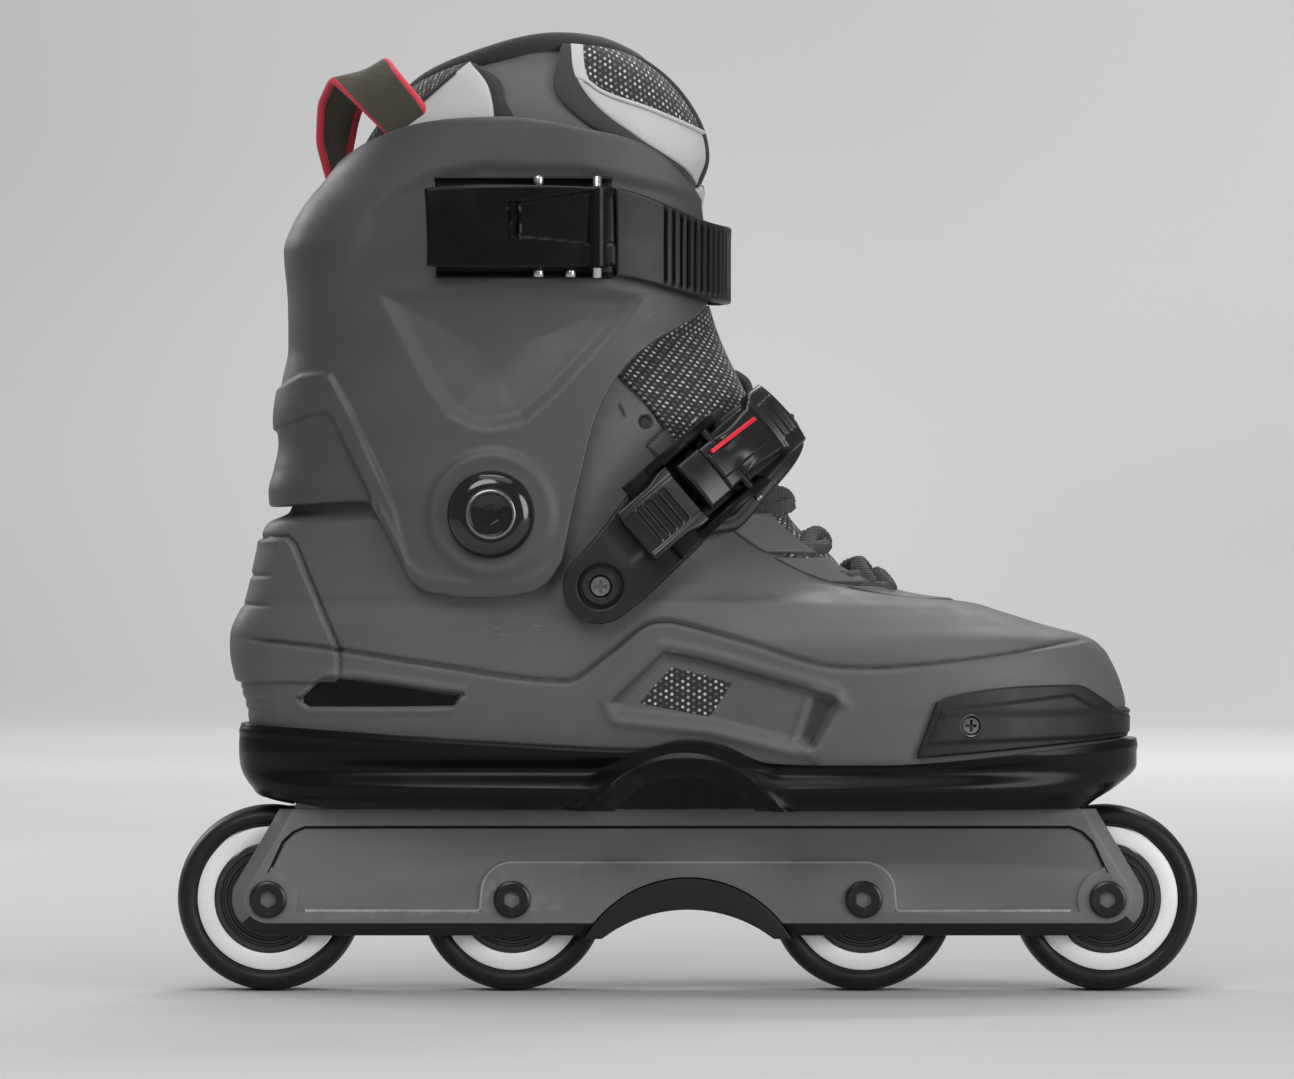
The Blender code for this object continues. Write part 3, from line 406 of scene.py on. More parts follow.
def loft(rings):
    """Joins rings that all have the same number of points, and closes both ends."""
    work = bmesh.new()
    verts = [[work.verts.new(p) for p in ring] for ring in rings]
    for end in (verts[0], verts[-1]):
        work.faces.new(end)
    for low, high in zip(verts, verts[1:]):
        for i in range(len(low)):
            j = (i + 1) % len(low)
            work.faces.new((low[i], low[j], high[j], high[i]))
    bmesh.ops.recalc_face_normals(work, faces=work.faces)
    return work


def pin(low, high, radius, inward, along, dome=0.0):
    """The profile of a turned pin between two heights, with its ends rounded off."""
    half = [(0, low), (radius - inward, low + dome), (radius, low + along)]
    return half + [(r, high + low - h) for r, h in reversed(half)]


def prism(outline, low, high):
    """Extrudes an outline of (x, z) points from y = low to y = high."""
    return loft([[(x, y, z) for x, z in outline] for y in (low, high)])


def block(x, y, z):
    return prism([(x[0], z[0]), (x[1], z[0]), (x[1], z[1]), (x[0], z[1])], *y)


def arc(centre, radius, start, end, steps):
    turn = np.radians(np.linspace(start, end, steps + 1))
    return [(centre[0] + radius * cos(a), centre[1] + radius * sin(a)) for a in turn]


def combine(target, work, operation="DIFFERENCE"):
    """Cuts a bmesh out of a piece, or joins it on, and applies the result."""
    tool = linked("tool", written(work, bpy.data.meshes.new("tool")))
    modifier = target.modifiers.new("combine", "BOOLEAN")
    modifier.object = tool
    modifier.operation = operation
    modifier.solver = "EXACT"
    apply_modifiers(target)
    bpy.data.objects.remove(tool)


def refinish(target, *finishes):
    """Gives a piece these finishes in place of those that a cut or a remesh left on it."""
    target.data.materials.clear()
    for finish in finishes:
        target.data.materials.append(finish)


def claim(target, body, node):
    """Puts a piece on its body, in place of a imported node."""
    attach(target, body)
    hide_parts(node)


def apply_modifiers(target):
    """Puts a piece's modifiers into its mesh."""
    graph = bpy.context.evaluated_depsgraph_get()
    result = bpy.data.meshes.new_from_object(target.evaluated_get(graph), depsgraph=graph)
    target.modifiers.clear()
    old = target.data
    target.data = result
    bpy.data.meshes.remove(old)


def soften(target, width, segments=2, angle=30):
    """Rounds a piece's hard edges."""
    modifier = target.modifiers.new("soften", "BEVEL")
    modifier.width = width * MM
    modifier.segments = segments
    modifier.limit_method = "ANGLE"
    modifier.angle_limit = radians(angle)
    modifier.harden_normals = False
    apply_modifiers(target)
    target.data.shade_smooth()
    target.data.set_sharp_from_angle(angle=radians(40))


def tube(route, radius, facets=10, waves=0.0, twist=0.0, flat=1.0):
    """A round rod along a list of points; waves of a twisted braid may run round it."""
    route = np.array(route, float)
    way = unit(np.gradient(route, axis=0))
    run = lengths(route)
    side = unit(np.cross(way, (0.0, 1.0, 0.3)))
    lift = np.cross(side, way)
    a = np.linspace(0, 2 * pi, facets + 1)[:-1]
    size = radius * (1 + waves * np.cos(3 * (a[None, :] + twist * run[:, None])))
    rings = (route[:, None] + side[:, None] * (size * np.cos(a))[..., None]
             + lift[:, None] * (flat * size * np.sin(a))[..., None])
    return loft(rings)


def merged(*works):
    """Several bmeshes as one."""
    whole = bmesh.new()
    for work in works:
        mesh = bpy.data.meshes.new("part")
        work.to_mesh(mesh)
        work.free()
        whole.from_mesh(mesh)
        bpy.data.meshes.remove(mesh)
    return whole


# ---- finishes --------------------------------------------------------------------------------

class Finish:
    """A node material; add() makes a node, and its inputs are numbers, colours or other sockets."""

    def __init__(self, name):
        self.material = bpy.data.materials.new(name)
        self.material.use_nodes = True
        self.tree = self.material.node_tree
        self.shader = self.tree.nodes["Principled BSDF"]
        self.place = self.add("ShaderNodeTexCoord").outputs["Object"]

    def put(self, socket, value):
        if isinstance(value, bpy.types.NodeSocket):
            self.tree.links.new(value, socket)
        else:
            socket.default_value = value

    def add(self, kind, inputs=None, **settings):
        node = self.tree.nodes.new(kind)
        for key, value in settings.items():
            setattr(node, key, value)
        for key, value in (inputs or {}).items():
            self.put(node.inputs[key], value)
        return node

    def set(self, **inputs):
        for key, value in inputs.items():
            self.put(self.shader.inputs[key.replace("_", " ")], value)

    def noise(self, size, detail=2.0, place=None):
        """Noise whose lumps are about size millimetres across."""
        inputs = {"Vector": place or self.place, "Scale": 1 / (size * MM), "Detail": detail}
        return self.add("ShaderNodeTexNoise", inputs).outputs["Fac"]

    def span(self, value, low, high, out_low=0.0, out_high=1.0):
        inputs = {0: value, 1: low, 2: high, 3: out_low, 4: out_high}
        return self.add("ShaderNodeMapRange", inputs).outputs[0]

    def maths(self, operation, *values):
        return self.add("ShaderNodeMath", dict(enumerate(values)), operation=operation).outputs[0]

    def blend(self, share, first, second):
        colours = [(*c, 1) if isinstance(c, tuple) else c for c in (first, second)]
        inputs = {0: share, 6: colours[0], 7: colours[1]}
        return self.add("ShaderNodeMix", inputs, data_type="RGBA").outputs[2]

    def field(self, name, output="Fac"):
        return self.add("ShaderNodeAttribute", attribute_name=name).outputs[output]

    def bump(self, height, depth, strength=1.0):
        """Surface relief of a height from 0 to 1 that is depth millimetres deep."""
        inputs = {"Height": height, "Distance": depth * MM, "Strength": strength}
        self.set(Normal=self.add("ShaderNodeBump", inputs).outputs[0])


def moulded(name, colour, roughness, grain=0.5, depth=0.03, spread=0.07, wear=0.3, **shader):
    """Moulded plastic: fine grain, cloudy gloss, paler worn edges, and near-black painted shade where the
    mark field asks for it.
    """
    f = Finish(name)
    cloud = f.noise(28, 4.0)
    fine = f.noise(grain, 3.0)
    deep, pale = [tuple(c * k for c in colour) for k in (1 - spread, 1 + spread)]
    base = f.blend(f.span(cloud, 0.35, 0.65), deep, pale)
    base = f.blend(f.span(fine, 0.3, 0.8, 0, 0.22), base, tuple(c * 1.5 for c in colour))
    edge = f.add("ShaderNodeNewGeometry").outputs["Pointiness"]
    worn = f.maths("MULTIPLY", f.span(edge, 0.52, 0.6, 0, wear), f.span(f.noise(3, 4.0), 0.4, 0.6))
    base = f.blend(worn, base, tuple(min(c * 2.4 + 0.02, 1) for c in colour))
    # painted shade: the field darkens grooves, creases, slots, hollows and undersides that lie in shade
    base = f.blend(f.field("mark"), base, (0.004, 0.004, 0.004))
    rough = f.span(f.noise(9, 4.0), 0.3, 0.7, roughness - 0.05, roughness + 0.05)
    f.set(Base_Color=base, Roughness=rough, **shader)
    f.bump(fine, depth)
    return f.material


def metal(name, colour, roughness, grain=0.2):
    """Turned metal with fine rings of uneven gloss."""
    f = Finish(name)
    fine = f.noise(grain, 4.0)
    base = f.blend(f.span(f.noise(4, 3.0), 0.3, 0.7), tuple(c * 0.82 for c in colour), colour)
    f.set(Base_Color=base, Metallic=1.0, Roughness=f.span(fine, 0.3, 0.7, roughness - 0.08, roughness + 0.1))
    f.bump(fine, 0.01)
    return f.material


def cloth(name, colour, pitch=0.9, depth=0.12, spread=0.15, roughness=0.85, sheen=0.25, contrast=0.25):
    """Woven fabric: two crossed sets of threads a pitch apart, in slightly uneven colour."""
    f = Finish(name)
    parts = f.add("ShaderNodeSeparateXYZ", {0: f.place})
    turn = 2 * pi / (pitch * MM)
    lines = [f.maths("SINE", f.maths("MULTIPLY", f.maths(kind, parts.outputs[0], parts.outputs[2]), turn))
             for kind in ("ADD", "SUBTRACT")]
    weave = f.span(f.maths("MULTIPLY", *lines), -1, 1)
    deep, pale = [tuple(c * k for c in colour) for k in (1 - spread, 1 + spread)]
    base = f.blend(f.noise(6, 4.0), deep, pale)
    base = f.blend(f.span(weave, 0, 1, 0, contrast), base, tuple(c * 0.5 for c in colour))
    f.set(Base_Color=base, Roughness=roughness, Sheen_Weight=sheen)
    f.bump(f.maths("ADD", weave, f.span(f.noise(0.3, 3.0), 0, 1, 0, 0.6)), depth)
    return f.material


def spotted_mesh(name):
    """Dark knitted mesh with clusters of pale dots, laid out by the field flat, in millimetres."""
    f = Finish(name)
    parts = f.add("ShaderNodeSeparateXYZ", {0: f.field("flat", "Vector")})
    u, v = parts.outputs[0], parts.outputs[1]
    wobble = f.span(f.noise(2.2, 2.0), 0, 1, -0.5, 0.5)

    def lattice(pitch, offset):
        waves = []
        for share in (0.0, 0.5, -0.5):
            run = f.maths("ADD", f.maths("MULTIPLY", u, cos(pi / 3 * share * 2)),
                          f.maths("MULTIPLY", v, sin(pi / 3 * share * 2)))
            phase = f.maths("ADD", f.maths("MULTIPLY", run, 2 * pi / pitch), offset)
            waves.append(f.maths("COSINE", f.maths("ADD", phase, wobble)))
        return f.maths("ADD", f.maths("ADD", waves[0], waves[1]), waves[2])

    dots = f.span(lattice(1.7, 0.0), 0.5, 1.8)
    groups = f.span(lattice(5.2, 0.9), -1.3, 0.9, 0.1, 1.0)
    pale = f.maths("MULTIPLY", dots, groups)
    base = f.blend(pale, (0.018, 0.018, 0.019), (0.62, 0.62, 0.61))
    f.set(Base_Color=base, Roughness=0.8, Sheen_Weight=0.15)
    f.bump(f.maths("ADD", dots, f.span(f.noise(0.3, 3.0), 0, 1, 0, 0.3)), 0.35)
    return f.material


SHELL_GREY = moulded("shell_grey", (0.09, 0.09, 0.092), 0.54)
CUFF_GREY = moulded("cuff_grey", (0.063, 0.063, 0.065), 0.5)
FRAME_GREY = moulded("frame_grey", (0.135, 0.135, 0.137), 0.42, 0.3, 0.015, 0.05)
# painted highlight: a paler copy of the frame finish for the lit lines along the panel's lower step
FRAME_PAINTED_HIGHLIGHT = moulded("frame_painted_highlight", (0.24, 0.24, 0.243), 0.36, 0.3, 0.015, 0.05)
# painted shade: near-black for the frame's lower chamfer faces that point down
FRAME_PAINTED_SHADE = moulded("frame_painted_shade", (0.02, 0.02, 0.0205), 0.5, 0.3, 0.015, 0.05, Specular_IOR_Level=0.2)
SATIN_BLACK = moulded("satin_black", (0.004, 0.004, 0.0043), 0.3, 0.4, 0.012, 0.15, 0.15,
                      Specular_IOR_Level=0.2)
MATT_BLACK = moulded("matt_black", (0.007, 0.007, 0.0074), 0.3, 0.4, 0.02, 0.12, 0.4)
STRAP_BLACK = moulded("strap_black", (0.016, 0.016, 0.0165), 0.42, 0.4, 0.02, 0.1, 0.4,
                      Specular_IOR_Level=0.3)
GUARD_GREY = moulded("guard_grey", (0.014, 0.014, 0.0145), 0.42, 0.4, 0.02, 0.1, 0.4,
                     Specular_IOR_Level=0.3)
GLOSS_BLACK = moulded("gloss_black", (0.006, 0.006, 0.0065), 0.14, 0.6, 0.006, 0.15, 0.15, Coat_Weight=0.5)
RED_LINE = moulded("red_line", (0.65, 0.012, 0.03), 0.35, 0.4, 0.01, 0.08, 0.1)
TYRE = moulded("tyre_black", (0.008, 0.008, 0.0085), 0.45, 0.7, 0.03, 0.2, 0.4,
               Specular_IOR_Level=0.3)
RING = moulded("core_ring", (0.8, 0.8, 0.81), 0.32, 0.5, 0.01, 0.04, 0.0)
HUB = moulded("core_dark", (0.022, 0.022, 0.023), 0.35, 0.4, 0.02, 0.1, 0.4)
STEEL = metal("steel", (0.62, 0.62, 0.63), 0.24)
DARK_STEEL = metal("dark_steel", (0.05, 0.05, 0.052), 0.34)
RIM_STEEL = metal("rim_steel", (0.28, 0.28, 0.285), 0.3)
LINING = cloth("lining", (0.03, 0.03, 0.031), 1.1)
GREY_FABRIC = cloth("grey_fabric", (0.125, 0.125, 0.127), 0.7, 0.06, 0.08, 0.62)
DARK_FABRIC = cloth("dark_fabric", (0.022, 0.022, 0.023), 0.7, 0.06, 0.1, 0.6)
PALE_FABRIC = cloth("pale_fabric", (0.56, 0.56, 0.555), 0.7, 0.05, 0.06, 0.5)
BINDING = cloth("binding", (0.028, 0.028, 0.029), 0.8, 0.15)
OLIVE_WEBBING = cloth("olive_webbing", (0.062, 0.058, 0.036), 1.4, 0.2, 0.2)
RED_PIPING = cloth("red_piping", (0.62, 0.02, 0.045), 0.8, 0.1, 0.1, 0.6)
LACE_YARN = cloth("lace_yarn", (0.062, 0.062, 0.064), 1.5, 0.35, 0.3, 0.9, 0.2, 0.9)
FOAM = cloth("foam", (0.12, 0.12, 0.125), 1.6, 0.2)
MESH = spotted_mesh("spotted_mesh")


# ---- wheels and frame ------------------------------------------------------------------------

def both_sides(half):
    """A turned profile that starts on the outer side and repeats itself on the inner one."""
    return half + [(radius, -y, *flats) for radius, y, *flats in reversed(half)]


def wheels():
    """Rounded tyres on pale rings with dark ridged hubs, which turn round hexagon-socket axles."""
    tyre = [(22.7, -9.9), (22.9, -10.6), (23.6, -11.3), (24.7, -11.75), (25.9, -11.7), (26.9, -11.3),
            (27.8, -10.3), (28.4, -8.8), (28.75, -7), (28.95, -4.5), (29, -2)]
    ring = [(17.1, -9.9), (17.2, -10.6), (17.7, -10.9), (19.8, -10.85), (21.8, -10.4), (22.4, -10.1)]
    hub = [(11.1, -4.9), (11.1, -11.3), (11.5, -11.8), (12.0, -11.8), (12.4, -11.1), (12.9, -11.1),
           (13.3, -11.7), (13.9, -11.7), (14.3, -11.0), (14.8, -11.0), (15.2, -11.5), (15.9, -11.5),
           (16.4, -10.7), (16.9, -10.4)]
    axle = [(0, -18.2), (2.2, -18.4, 6), (2.5, -21.0, 6), (4.9, -21.25), (5.55, -20.95), (5.8, -20.3),
            (5.8, -19.85), (3.85, -19.85)]
    for i, x in enumerate(WHEEL_X, 1):
        centre, body = (x, 0, WHEEL_RADIUS), f"wheel_{i}"
        piece(f"tyre_tread_{i}", lathe(both_sides(tyre), centre, 120), TYRE, body, [f"tyre_{i}"], "tyre")
        piece(f"hub_ring_{i}", lathe(both_sides(ring), centre, 120), RING, body, [f"hub_{i}"], "core")
        piece(f"hub_core_{i}", lathe(both_sides(hub), centre, 96), HUB, body, slot="black_plastic")
        piece(f"axle_bolt_{i}", lathe(both_sides(axle), centre, 60), DARK_STEEL, "root", [f"axle_{i}"],
              "bolt_steel", 25)


def mirrored(half):
    return half + [(-x, z) for x, z in reversed(half)]


def wheel_frame():
    """The channel frame: two walls with a shallow panel round a raised island, and an open arch."""
    top, wall, chamfer, end = 57.1, 19.5, 4.0, (WHEEL_X[0], WHEEL_RADIUS)
    rings = []
    for y, shrink in ((-wall, chamfer), (chamfer - wall, 0), (wall - chamfer, 0), (wall, chamfer)):
        half = [(-127 + shrink * 1.1, top)] + arc(end, 11.4 - shrink, 158, 270, 14)
        rings.append([(x, y, z) for x, z in mirrored(half)])
    made = piece("frame_body", loft(rings), FRAME_GREY, None)
    combine(made, block((-122, 122), (-19, 19), (50, 66)), "UNION")
    for bay in ((-150, -97), (-91, 91), (97, 150)):
        combine(made, block(bay, (-13.5, 13.5), (0, 60.3)))
    arch = arc((0, -1.4), 37.3, 29.1, 150.9, 40)
    combine(made, prism([(arch[0][0], 0)] + arch + [(arch[-1][0], 0)], -25, 25))
    panel = [(-119, 51.7), (-122.6, 50.2), (-126, 47), (-129.5, 39.5)]
    panel += arc(end, 9.4, 78, -24, 10) + [(-64.2, 25.3)] + arc((WHEEL_X[1], 31), 9.5, 180, 90, 8)
    for side in (-1, 1):
        low, high = sorted((side * (wall - 1), side * (wall + 2)))
        combine(made, prism(mirrored(panel), low, high))
    soften(made, 0.35)
    refinish(made, FRAME_GREY, FRAME_PAINTED_SHADE)
    # painted shade: the lower chamfer faces that point down get the near-black frame finish
    for face in made.data.polygons:
        low = face.center.z < 22.5 * MM and abs(face.center.y) > (wall - chamfer) * MM
        face.material_index = int(low and face.normal.z < -0.4)
    claim(made, "root", "frame")
    # the seam tubes are dark lines of painted shade, sunk along the panel's upper step and ends
    seam = mirrored([(-130.6, 37.2)] + panel[3::-1])
    # the highlight beads are pale tubes of painted highlight along the panel's lower step
    highlight_bead = mirrored([(-119, 25.4), (-66, 25.4), (-64.6, 26.0)] + panel[-9:])
    lines = (("seam", seam, 0.7, 0.75, SATIN_BLACK, "black_plastic"),
             ("highlight_bead", highlight_bead, 0.5, 0.6, FRAME_PAINTED_HIGHLIGHT, "frame_plastic"))
    for label, line, sunk, radius, finish, slot in lines:
        for side, name in SIDES:
            route = [(x, side * (wall - sunk), z) for x, z in line]
            piece(f"panel_{label}_{name}", tube(route, radius, 12), finish, "root", slot=slot)


def grind_block():
    """The crescent that lines the arch, with worn rounded edges."""
    radius, peak, foot = 43.8, 25.8, 16.7
    edge = np.degrees(asin((foot - peak + radius) / radius))
    outline = arc((0, -1.4), 36.95, 29.3, 150.7, 40)
    outline += arc((0, peak - radius), radius, 180 - edge, edge, 32)
    made = piece("grind_block", prism(outline, -20, 20), GUARD_GREY, None)
    for side in (-1, 1):
        combine(made, block(sorted((side * 23.5, side * 40)), (-13.8, 13.8), (0, 60)))
    soften(made, 1.3, 4)
    refinish(made, GUARD_GREY)
    claim(made, "root", "h_block")


# ---- boot ------------------------------------------------------------------------------------

def soulplate():
    """The wide black sole, with a scooped side channel and a rimmed grind arch."""
    turn = np.linspace(0, 2 * pi, 721)[:-1]
    rows = []
    for share in np.linspace(0, 1, 44):
        z = mix(57.4, SOLE_RIM(SOLE.x(turn, 75.0 + 0 * turn)), share)
        for _ in range(4):
            z = mix(57.4, SOLE_RIM(SOLE.x(turn, z)), share)
        rows.append(SOLE.point(turn, z))
    outer = np.array(rows)
    x, z = outer[..., 0], outer[..., 2]
    arch = np.hypot(x + 1, z - 39.6) - 32.0
    rim = 0.8 * SOLE_CHANNEL(z) * ease(9.0, 2.5, arch) + 1.0 * groove(arch - 2.0, 2.4)
    lip = 0.4 * groove(SOLE_RIM(x) - z - 2.2, 2.6) * ease(3.0, 8.0, arch)
    away = unit(outer[..., :2] * (1.0, 3.0))
    outer[..., :2] += away * (rim + lip)[..., None]
    inner = SHELL.point(turn, 75.0 + 0 * turn, -0.9)
    lip_line, floor = inner.copy(), inner.copy()
    lip_line[:, 2] = SOLE_RIM(inner[:, 0])
    floor[:, 2] = 70.5
    made = piece("sole_tray", loft([*outer, lip_line, floor]), SATIN_BLACK, None)
    combine(made, block((-122.5, 122.5), (-19.5, 19.5), (50, 66.35)))
    combine(made, block((-146, 146), (-14.2, 14.2), (50, 60.6)))
    for side in (-1, 1):
        for radius, top, near in ((32, 71.6, 49), (27.5, 68, 22)):
            low, high = sorted((side * near, side * 70))
            wall = [(0, low), (radius, low), (radius, high), (0, high)]
            combine(made, lathe(wall, (-1, 0, top - radius), 96))
    soften(made, 0.5, 2, 40)
    refinish(made, SATIN_BLACK)
    claim(made, "root", "soulplate")


STYLE_LINE = smooth((-141, 109.7), (-110, 106.3), (-79, 101.6), (-38, 96.6), (-24, 105.3), (-12, 114.4),
                    (-6.5, 115.1), (-1.5, 114.2), (17, 108.9), (35, 103.1), (43, 101.3), (54, 100.6),
                    (80, 102.5), (126, 109.4))
HEEL_PANEL = [(-160, 141), (-133, 141.5), (-124.3, 142), (-121.8, 139.5), (-107.5, 106), (-108, 96),
              (-160, 96)]
VENT = [(-7.7, 106.9), (3.9, 104.7), (44.4, 93.4), (47.7, 88.7), (38.5, 75.6), (34.3, 76.5), (6.7, 83.2),
        (-21.8, 86.3), (-24.3, 90.7)]
VENT_WINDOW = [(-5.2, 101.9), (14, 96.9), (6.6, 86.3), (-15.2, 90.5)]
VENT_PAD = [(38.6, 92.3), (44.8, 90.7), (37.5, 77.7), (34.3, 79.9)]
TABS = ((137.0, 149.5), (128.0, 135.5), (122.6, 126.6))  # lower and upper ends along the throat
EAR_LINES = ([(-13.2, 184.2), (-7.1, 175.3), (-12.5, 169.8), (-9.2, 166.2)],
             [(-20.2, 191.9), (-15.2, 195.9)], [(-21.2, 182.5), (-19.6, 179.3)])
INLAY_LOW = smooth((-120, 91.0), (-117, 89.3), (-73, 89.7), (-70, 92.8))
INLAY_HIGH = smooth((-120, 91.6), (-111.4, 97.8), (-70, 93.2))


def shell_form(x, z):
    """How far the shell's outer face stands proud at (x, z), and how much painted shade its grooves, creases,
    hole and sunk vent pad get there.
    """
    style = above(STYLE_LINE, x, z)
    reach = ease(-141, -128, x) * ease(128, 118, x)
    height = 1.0 * np.exp(np.minimum(style, 0) / 13) * (1 - ease(-0.3, 1.5, style))
    height = height * reach - 0.7 * groove(style - 0.6, 1.9) * reach
    # painted shade in the crease of the style line
    mark = 0.85 * groove(style - 0.8, 1.6) * reach
    heel = inside(HEEL_PANEL, x, z)
    height += 1.1 * ease(0, 1.3, heel) - 0.5 * groove(heel, 1.4)
    # painted shade along the heel panel's edge
    mark += 0.8 * groove(heel, 1.1) * ease(98, 108, z)
    # each step groove at the back of the heel is sunk and gets painted shade
    for step, depth in ((129.6, 0.7), (120.2, 0.6), (94, 0.4), (90.8, 0.4), (87.6, 0.4)):
        part = ease(-127, -132, x) * groove(z - step, 1.4)
        height -= depth * part
        mark += 0.5 * depth * part
    vent = inside(VENT, x, z)
    height -= 2.0 * ease(-0.4, 3.4, vent) - 0.7 * groove(vent + 1.6, 3.0)
    pad = inside(VENT_PAD, x, z)
    height += 0.8 * groove(pad + 2.0, 2.2) - 0.6 * ease(-0.5, 1, pad)
    # painted shade in the sunk vent pad and along the inside of the vent's edge
    mark += 0.75 * ease(-0.6, 0.8, pad) + 0.55 * groove(vent - 0.6, 1.0) * ease(88, 92, z)
    # the ear lines are shallow grooves with painted shade in them
    for path in EAR_LINES:
        near = along(path, x, z)
        height -= 0.5 * groove(near, 1.0)
        mark += 0.9 * groove(near, 0.9)
    # the hole is sunk and painted dark as shade
    hole = np.hypot(x + 12.9, z - 177.4)
    height -= 1.6 * (1 - ease(1.6, 2.5, hole))
    mark += 1 - ease(1.5, 2.4, hole)
    inlay = np.minimum(z - INLAY_LOW(x), INLAY_HIGH(x) - z) * (x > -121) * (x < -69)
    seat = np.where((x > -121) & (x < -69), inlay, -5)
    height += 0.45 * groove(seat + 1.6, 2.2) - 1.3 * ease(-0.9, 0.4, seat)
    rim = 0.5 * groove(SHELL_RIM(x) - z - 2.2, 2.6) * (x < -10)
    return height + rim, np.clip(mark, 0, 1)


def throat(z, beyond=0.0):
    """The angle at which the shell's outline ends beside the throat, or beyond that edge."""
    return SHELL.angle_at_y(np.where(THROAT(z) > 1.5, THROAT(z) + beyond, 0), z)


def shell():
    z = np.linspace(70.85, 199.5, 400)
    run = np.minimum(np.hypot(np.gradient(SHELL.front(z), z), 1), 5)
    length = np.cumsum(run)
    rows = np.interp(np.linspace(length[0], length[-1], 250), length, np.linspace(0, 1, 400))
    columns = stops(860, 700, 1.2)
    grid = cover(SHELL, lambda z: -throat(z), throat, level(70.85), SHELL_RIM, rows, columns)
    height, mark = shell_form(grid[..., 0], grid[..., 2])
    piece("boot_shell", plate(grid, 3.2, 1.2, height), SHELL_GREY, "root", ["shell"], "shell_plastic",
          mark=mark)
    share = np.linspace(0, 1, 40)
    low, high = np.array(VENT_WINDOW[3]), np.array(VENT_WINDOW[2])
    first, last = np.array(VENT_WINDOW[0]), np.array(VENT_WINDOW[1])
    for side, name in SIDES:
        spots = np.array([[mix(mix(low, high, s), mix(first, last, s), t) for s in share] for t in share])
        across, up = spots[..., 0], spots[..., 1]
        y = SHELL.side(across, up, 1.55)
        window = np.stack((across, side * y, up), axis=-1)
        flat = laid_out(across, up)
        if side > 0:
            window, flat = window[:, ::-1], flat[:, ::-1]
        piece(f"vent_mesh_{name}", plate(window, 0.5, 0.3), MESH, "root", slot="liner_fabric", flat=flat)


def lace_tabs():
    """Flaps beside the throat that stand up from the shell, with the laces passing between them."""
    share = stops(30, 12, 0.8)
    for number, (low, high) in enumerate(TABS, 1):
        z = mix(low, high, share)[:, None] + 0 * share
        y = mix(THROAT(z) + 9.0, THROAT(z) - 1.5, share)
        grid = SHELL.point(SHELL.angle_at_y(y, z), z, -mix(1.0, 6.6, share) + 0 * z)
        for side, name in SIDES:
            shape = grid if side < 0 else grid[:, ::-1] * (1, -1, 1)
            piece(f"lace_tab_{number}_{name}", plate(shape, 3.0, 1.0), SHELL_GREY, "root",
                  slot="shell_plastic")


def toe_guard():
    start = lambda z: SHELL.angle_at_x(69.2 + 0.38 * np.clip(z - 75.5, 0, 15), z)
    rows, columns = stops(34, 20, 0.8), stops(300, 210, 0.8)
    grid = cover(SHELL, start, lambda z: 2 * pi - start(z), GUARD_LOW, GUARD_HIGH, rows, columns, -2.4)
    x, z = grid[..., 0], grid[..., 2]
    face = [(73.8, 78.0), (78.2, 88.6), (118.7, 93.2), (126, 88.8), (150, 84.2), (150, 81.5), (120, 79.4)]
    raised = inside(face, x, z)
    height = 0.6 * ease(-0.2, 1.0, raised)
    # painted shade in the crease round the raised face, and darker everywhere outside that face
    piece("toe_cap_guard", plate(grid, 1.4, 0.7, height), GUARD_GREY, "root", ["toe_guard"],
          "black_plastic", mark=0.6 * groove(raised, 0.9) + 0.35 * ease(0.3, -0.8, raised))
    for side, name in SIDES:
        centre = (GUARD_SCREW[0], 0, GUARD_SCREW[1])
        seat = float(SHELL.side(*np.array(GUARD_SCREW))) + 3.0
        cross_screw(f"guard_screw_{name}", centre, seat, 3.7, 2.9, side, RIM_STEEL,
                    f"toe_guard_screw_{name}")


def cross_screw(name, centre, seat, radius, head, side, rim, node):
    """A screw with a cross recess in its domed head, inside a raised washer ring."""
    profile = [(head + 0.1, seat - 3), (radius, seat - 3), (radius, seat + 0.5), (radius - 0.3, seat + 0.9),
               (head + 0.4, seat + 0.9), (head + 0.1, seat + 0.6)]
    piece(f"{name}_ring", lathe(profile, centre, 64, side=side), rim, "root", slot="bolt_steel")
    profile = [(0, seat - 3), (head, seat - 3), (head, seat + 0.1), (head - 0.5, seat + 0.7), (0, seat + 1.0)]
    made = piece(name, lathe(profile, centre, 64, side=side), RIM_STEEL, None)
    depth = sorted((side * (seat - 0.4), side * (seat + 3)))
    wide, long = head * 0.16, head * 0.62
    for across, up in ((wide, long), (long, wide)):
        cut = block((centre[0] - across, centre[0] + across), depth, (centre[2] - up, centre[2] + up))
        combine(made, cut)
    refinish(made, RIM_STEEL)
    made.data.set_sharp_from_angle(angle=radians(30))
    claim(made, "root", node)


def heel_inlays():
    for side, name in SIDES:
        turn = lambda x: lambda z: -side * SHELL.angle_at_x(x, z)
        ends = (-119.3, -70.6)
        grid = cover(SHELL, turn(ends[0]), turn(ends[1]), INLAY_LOW, INLAY_HIGH, stops(14, 8, 0.5),
                     stops(90, 52, 0.5), 0.1)
        if side > 0:
            grid = grid[:, ::-1]
        piece(f"heel_insert_{name}", plate(grid, 1.2, 0.5), SATIN_BLACK, "root", [f"heel_inlay_{name}"],
              "black_plastic")


# ---- cuff ------------------------------------------------------------------------------------

